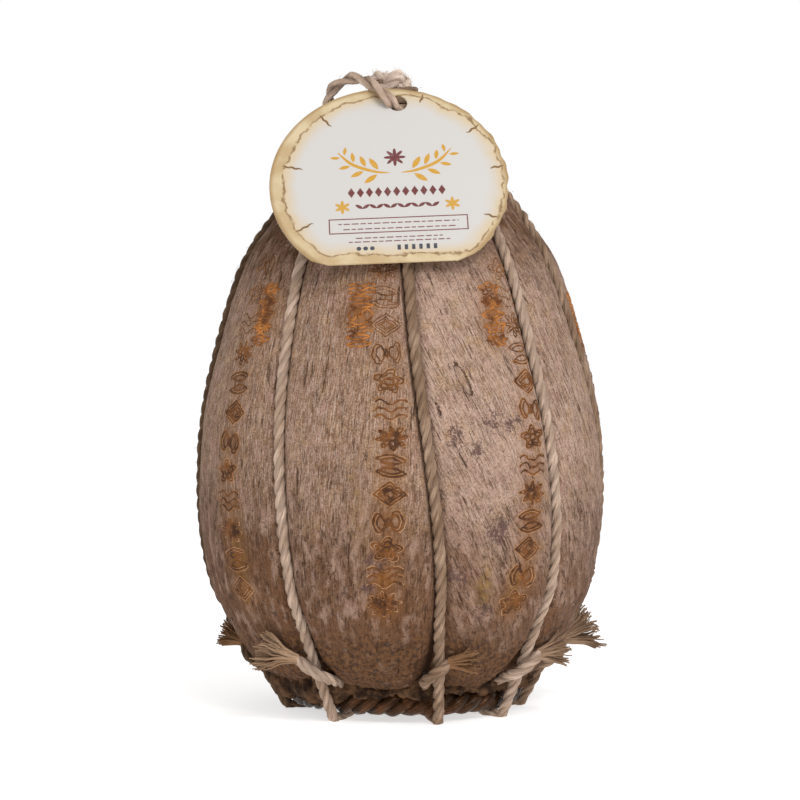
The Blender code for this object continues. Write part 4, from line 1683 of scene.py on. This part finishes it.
HOLE = [(HOLE_PLACE[0] + x, HOLE_PLACE[1] + y) for x, y in ring_of(lambda angle: HOLE_RADIUS, 40)]
CARD = flat_shape("card", [card_outline(), HOLE], 0.0, TAG_THICKNESS, CARD_BEVEL, card_finish())
keep(CARD, "card", "tag")

# %% Print on the card
PRINT_LIFT = 0.5 * TAG_THICKNESS + 0.02
PRINT_THICKNESS = 0.06
PRINT_MIDDLE = 3.0
# Angle, distance from the middle where it starts, and length of each tear
CRACKS = (
    (166.0, 46.0, 9.0), (127.0, 46.5, 8.0), (210.0, 46.0, 8.5), (36.0, 49.0, 7.0), (8.0, 49.2, 6.0),
    (-24.0, 49.0, 6.5), (70.0, 49.0, 4.5),
)


def print_finish(name, colour):
    material, shader, where = new_material(name, 0.5)
    faded = [channel * 0.7 + 0.3 for channel in colour[:3]] + [1.0]
    worn = ramp(noise(where, 700.0, 3.0), 0.5, 0.8, 0.0, 0.35)
    lead(blend(worn, colour, faded), shader, "Base Color")
    return material


def turned(points, angle, centre):
    c, s = math.cos(angle), math.sin(angle)
    return [(centre[0] + c * x - s * y, centre[1] + s * x + c * y) for x, y in points]


def block(x, y, width, height):
    return [(x, y), (x + width, y), (x + width, y + height), (x, y + height)]


def band(points, width):
    """A flat band along points, pointed at both ends."""
    rows = np.array(points)
    slope = np.gradient(rows, axis=0)
    slope /= np.linalg.norm(slope, axis=1)[:, None]
    half = 0.5 * width * np.sin(np.linspace(0.04, math.pi - 0.04, len(rows))) ** 0.6
    side = np.stack([-slope[:, 1], slope[:, 0]], axis=1) * half[:, None]
    return [tuple(p) for p in rows + side] + [tuple(p) for p in (rows - side)[::-1]]


def sprig(side):
    """A curved stem with pairs of leaves, which bends away to one side."""
    bends = ((2.5, 5.5), (9.0, 6.5), (18.0, 10.5), (24.0, 17.0))
    stem = smooth_curve([(PRINT_MIDDLE + side * x, y) for x, y in bends], 14, space=2)
    shapes = [band(stem, 1.5)]
    for step in (2, 5, 8, 11):
        slope = stem[step + 1] - stem[step]
        heading = math.atan2(slope[1], slope[0])
        for lean in (-1, 1):
            angle = heading + lean * 0.85
            size = 4.4 - 0.18 * step
            reach = size + 1.2
            centre = (stem[step, 0] + reach * math.cos(angle), stem[step, 1] + reach * math.sin(angle))
            shapes.append(turned(leaf((0.0, 0.0), size * 0.86, size * 0.3), angle, centre))
    return shapes


def star(centre, radius, points):
    shape = ring_of(lambda angle: radius * (0.72 + 0.28 * math.cos(points * angle)), 12 * points)
    return turned(shape, 0.5 * math.pi, centre)


def row_of(shapes, first, last, level, count):
    """Small shapes, used in turn, at even steps along a level."""
    steps = np.linspace(first, last, count)
    return [turned(shapes[step % len(shapes)], 0.0, (x, level)) for step, x in enumerate(steps)]


def crack(angle, start, length):
    """A thin tear from the card's edge towards its middle, pointed at its inner end."""
    inward = np.linspace(0.0, length, 12)
    waver = 0.25 * np.sin(1.9 * inward + angle)
    reach = start - inward
    rows = np.stack([
        math.cos(angle) * reach - math.sin(angle) * waver,
        math.sin(angle) * reach + math.cos(angle) * waver,
    ], axis=1)
    return band([tuple(row) for row in rows], 1.0)


def ruled_lines():
    """A thin box of two nested outlines with two dashed lines in it, and two more lines below."""
    shapes = [block(-26.0, -24.9, 58.0, 7.6), block(-25.5, -24.4, 57.0, 6.6)]
    rows = ((-20.3, -22.0, 28.0), (-23.0, -20.0, 27.0), (-27.6, -15.0, 21.0), (-29.5, -18.0, 24.0))
    for row, (level, start, end) in enumerate(rows):
        x = start
        step = 0
        while x < end:
            width = 1.4 + 1.5 * abs(math.sin(2.3 * step + row))
            shapes.append(block(x, level, min(width, end - x), 0.5))
            x += width + 0.8
            step += 1
    return shapes


LOZENGE = [(-1.5, 0.0), (0.0, -2.5), (1.5, 0.0), (0.0, 2.5)]
SMALL_LEAVES = [turned(leaf((0.0, 0.0), 1.9, 0.75), lean, (0.0, 0.0)) for lean in (-0.6, 0.6)]
DOT = ring_of(lambda angle: 1.0, 10)
BAR = block(0.0, 0.0, 1.4, 2.5)
PRINTS = (
    ("print_sprigs", sprig(-1) + sprig(1), paint(196, 146, 44)),
    ("print_star", [star((PRINT_MIDDLE, 13.5), 4.6, 8)], paint(104, 48, 46)),
    ("print_rows",
     row_of([LOZENGE], -16.0, 22.0, -4.2, 11) + row_of(SMALL_LEAVES, -13.0, 19.0, -11.4, 12),
     paint(104, 48, 46)),
    ("print_rosettes", [star((-20.0, -11.4), 3.4, 6), star((26.0, -11.4), 3.4, 6)], paint(196, 150, 60)),
    ("print_lines", ruled_lines(), paint(118, 70, 68)),
    ("print_dots",
     row_of([DOT], -14.0, -8.4, -32.6, 3) + row_of([BAR], 2.0, 17.0, -33.8, 6),
     paint(58, 60, 70)),
    ("print_cracks",
     [crack(math.radians(angle), start, length) for angle, start, length in CRACKS],
     paint(122, 92, 52)),
)
for name, shapes, colour in PRINTS:
    finish = print_finish(name + "_ink", colour)
    keep(flat_shape(name, shapes, PRINT_LIFT, PRINT_THICKNESS, 0.0, finish), "card")

# %% [markdown]
# ## Crumbs, flakes and crust
#
# The crust flakes off near the foot and catches between cords and ring. Small uneven crumbs are
# scattered on the rind there by a tree, half sunk in it, denser where the crust is thickest. The
# same tree sets a few larger flakes at the right-hand edge.
#
# Old crust, fat and dust have also set to a dark, lumpy bead all round between the rind and the
# ring. It is a closed tube that follows a circle, with its size and its skin broken up by noise
# and its lower half tucked in a little, behind the cords.

# %% Crumbs
def crumb_tree():
    given = start_tree("crust crumbs", {
        "Rind": "Object", "Mask": "String", "Per area": 60000.0, "Smallest": 0.0005,
        "Largest": 0.0016, "Seed": 3, "Material": "Material",
    })
    where = here()
    height = add("ShaderNodeSeparateXYZ", {0: where})[2]
    dense = named(given["Mask"]) ** 2.0 * given["Per area"]
    dense = dense * ramp(height, 0.012, 0.02) * ramp(noise(where, 60.0), 0.4, 0.62)
    points = sprinkled(form_of(given["Rind"]), dense, given["Seed"])
    ball = add("GeometryNodeMeshIcoSphere", {"Radius": 1.0, "Subdivisions": 2})[0]
    uneven = ramp(noise(where, 1.6, 2.0), 0.3, 0.7, 0.55, 1.2)
    lump = shifted(ball, Position=scaled(where, uneven))
    span = given["Largest"] - given["Smallest"]
    size = given["Smallest"] + chance(0.0, 1.0, 7) ** 2.0 * span
    return end_form(strewn(points, lump, 8, combined(size, size * 0.75, size * 0.6)), given["Material"])


STREWN = crumb_tree()
CRUMB_FINISH = mark_finish("crumb_brown", paint(60, 40, 26), paint(112, 84, 62))
FLAKE_FINISH = mark_finish("flake_grey", paint(96, 72, 54), paint(150, 122, 100))
CRUMBS = {"Rind": RIND, "Mask": "foot", "Material": CRUMB_FINISH}
FLAKES = {
    "Rind": RIND, "Mask": "flaky", "Material": FLAKE_FINISH, "Per area": 400000.0,
    "Smallest": 0.0007, "Largest": 0.0019, "Seed": 9,
}
keep(grow("crust_crumbs", STREWN, CRUMBS), "rind")
keep(grow("rind_flakes", STREWN, FLAKES), "rind")

# %% Crust between the rind and the ring
# The bead is thickest on the left, in this direction, and thick on the other side too
HEAVY_SIDE = (-0.95, -0.31, 0.0)
BEAD_CENTRE = (1.5, 0.0, 15.0)


def bead_tree():
    given = start_tree("crust bead", {
        "Circle radius": 0.0515, "Tube radius": 0.0034, "Thickest": 2.0, "Thick": 1.55,
        "Lump height": 0.0095, "Tuck": 0.97, "Centre": "Vector", "Material": "Material",
    })
    where = here()
    side = dot(where, HEAVY_SIDE)
    left = ramp(side, 0.026, 0.052, 1.0, given["Thickest"])
    right = ramp(side, -0.03, -0.05, 1.0, given["Thick"])
    swell = ramp(noise(where, 75.0, 3.0), 0.32, 0.68, 0.55, 1.4)
    size = given["Tube radius"] * (left * right * swell)
    tube = sweep(circle(420, given["Circle radius"]), circle(28), size, False)
    lumps = (noise(where, 260.0, 5.0, 0.75) - 0.5) * given["Lump height"]
    lumpy = shifted(tube, Offset=scaled(outward(), lumps))
    parts = add("ShaderNodeSeparateXYZ", {0: where})
    tuck = ramp(parts[2], -0.013, 0.006, given["Tuck"], 1.0)
    tucked = shifted(lumpy, Position=combined(parts[0] * tuck, parts[1] * tuck, parts[2]))
    placed = add("GeometryNodeTransform", {"Geometry": tucked, "Translation": given["Centre"]})[0]
    return end_form(placed, given["Material"])


BEAD_FINISH = mark_finish("bead_brown", paint(36, 21, 11), paint(100, 72, 50), 0.12)
BEAD = grow("crust_bead", bead_tree(), {"Centre": Vector(BEAD_CENTRE) * MM, "Material": BEAD_FINISH})
keep(BEAD, "rind")
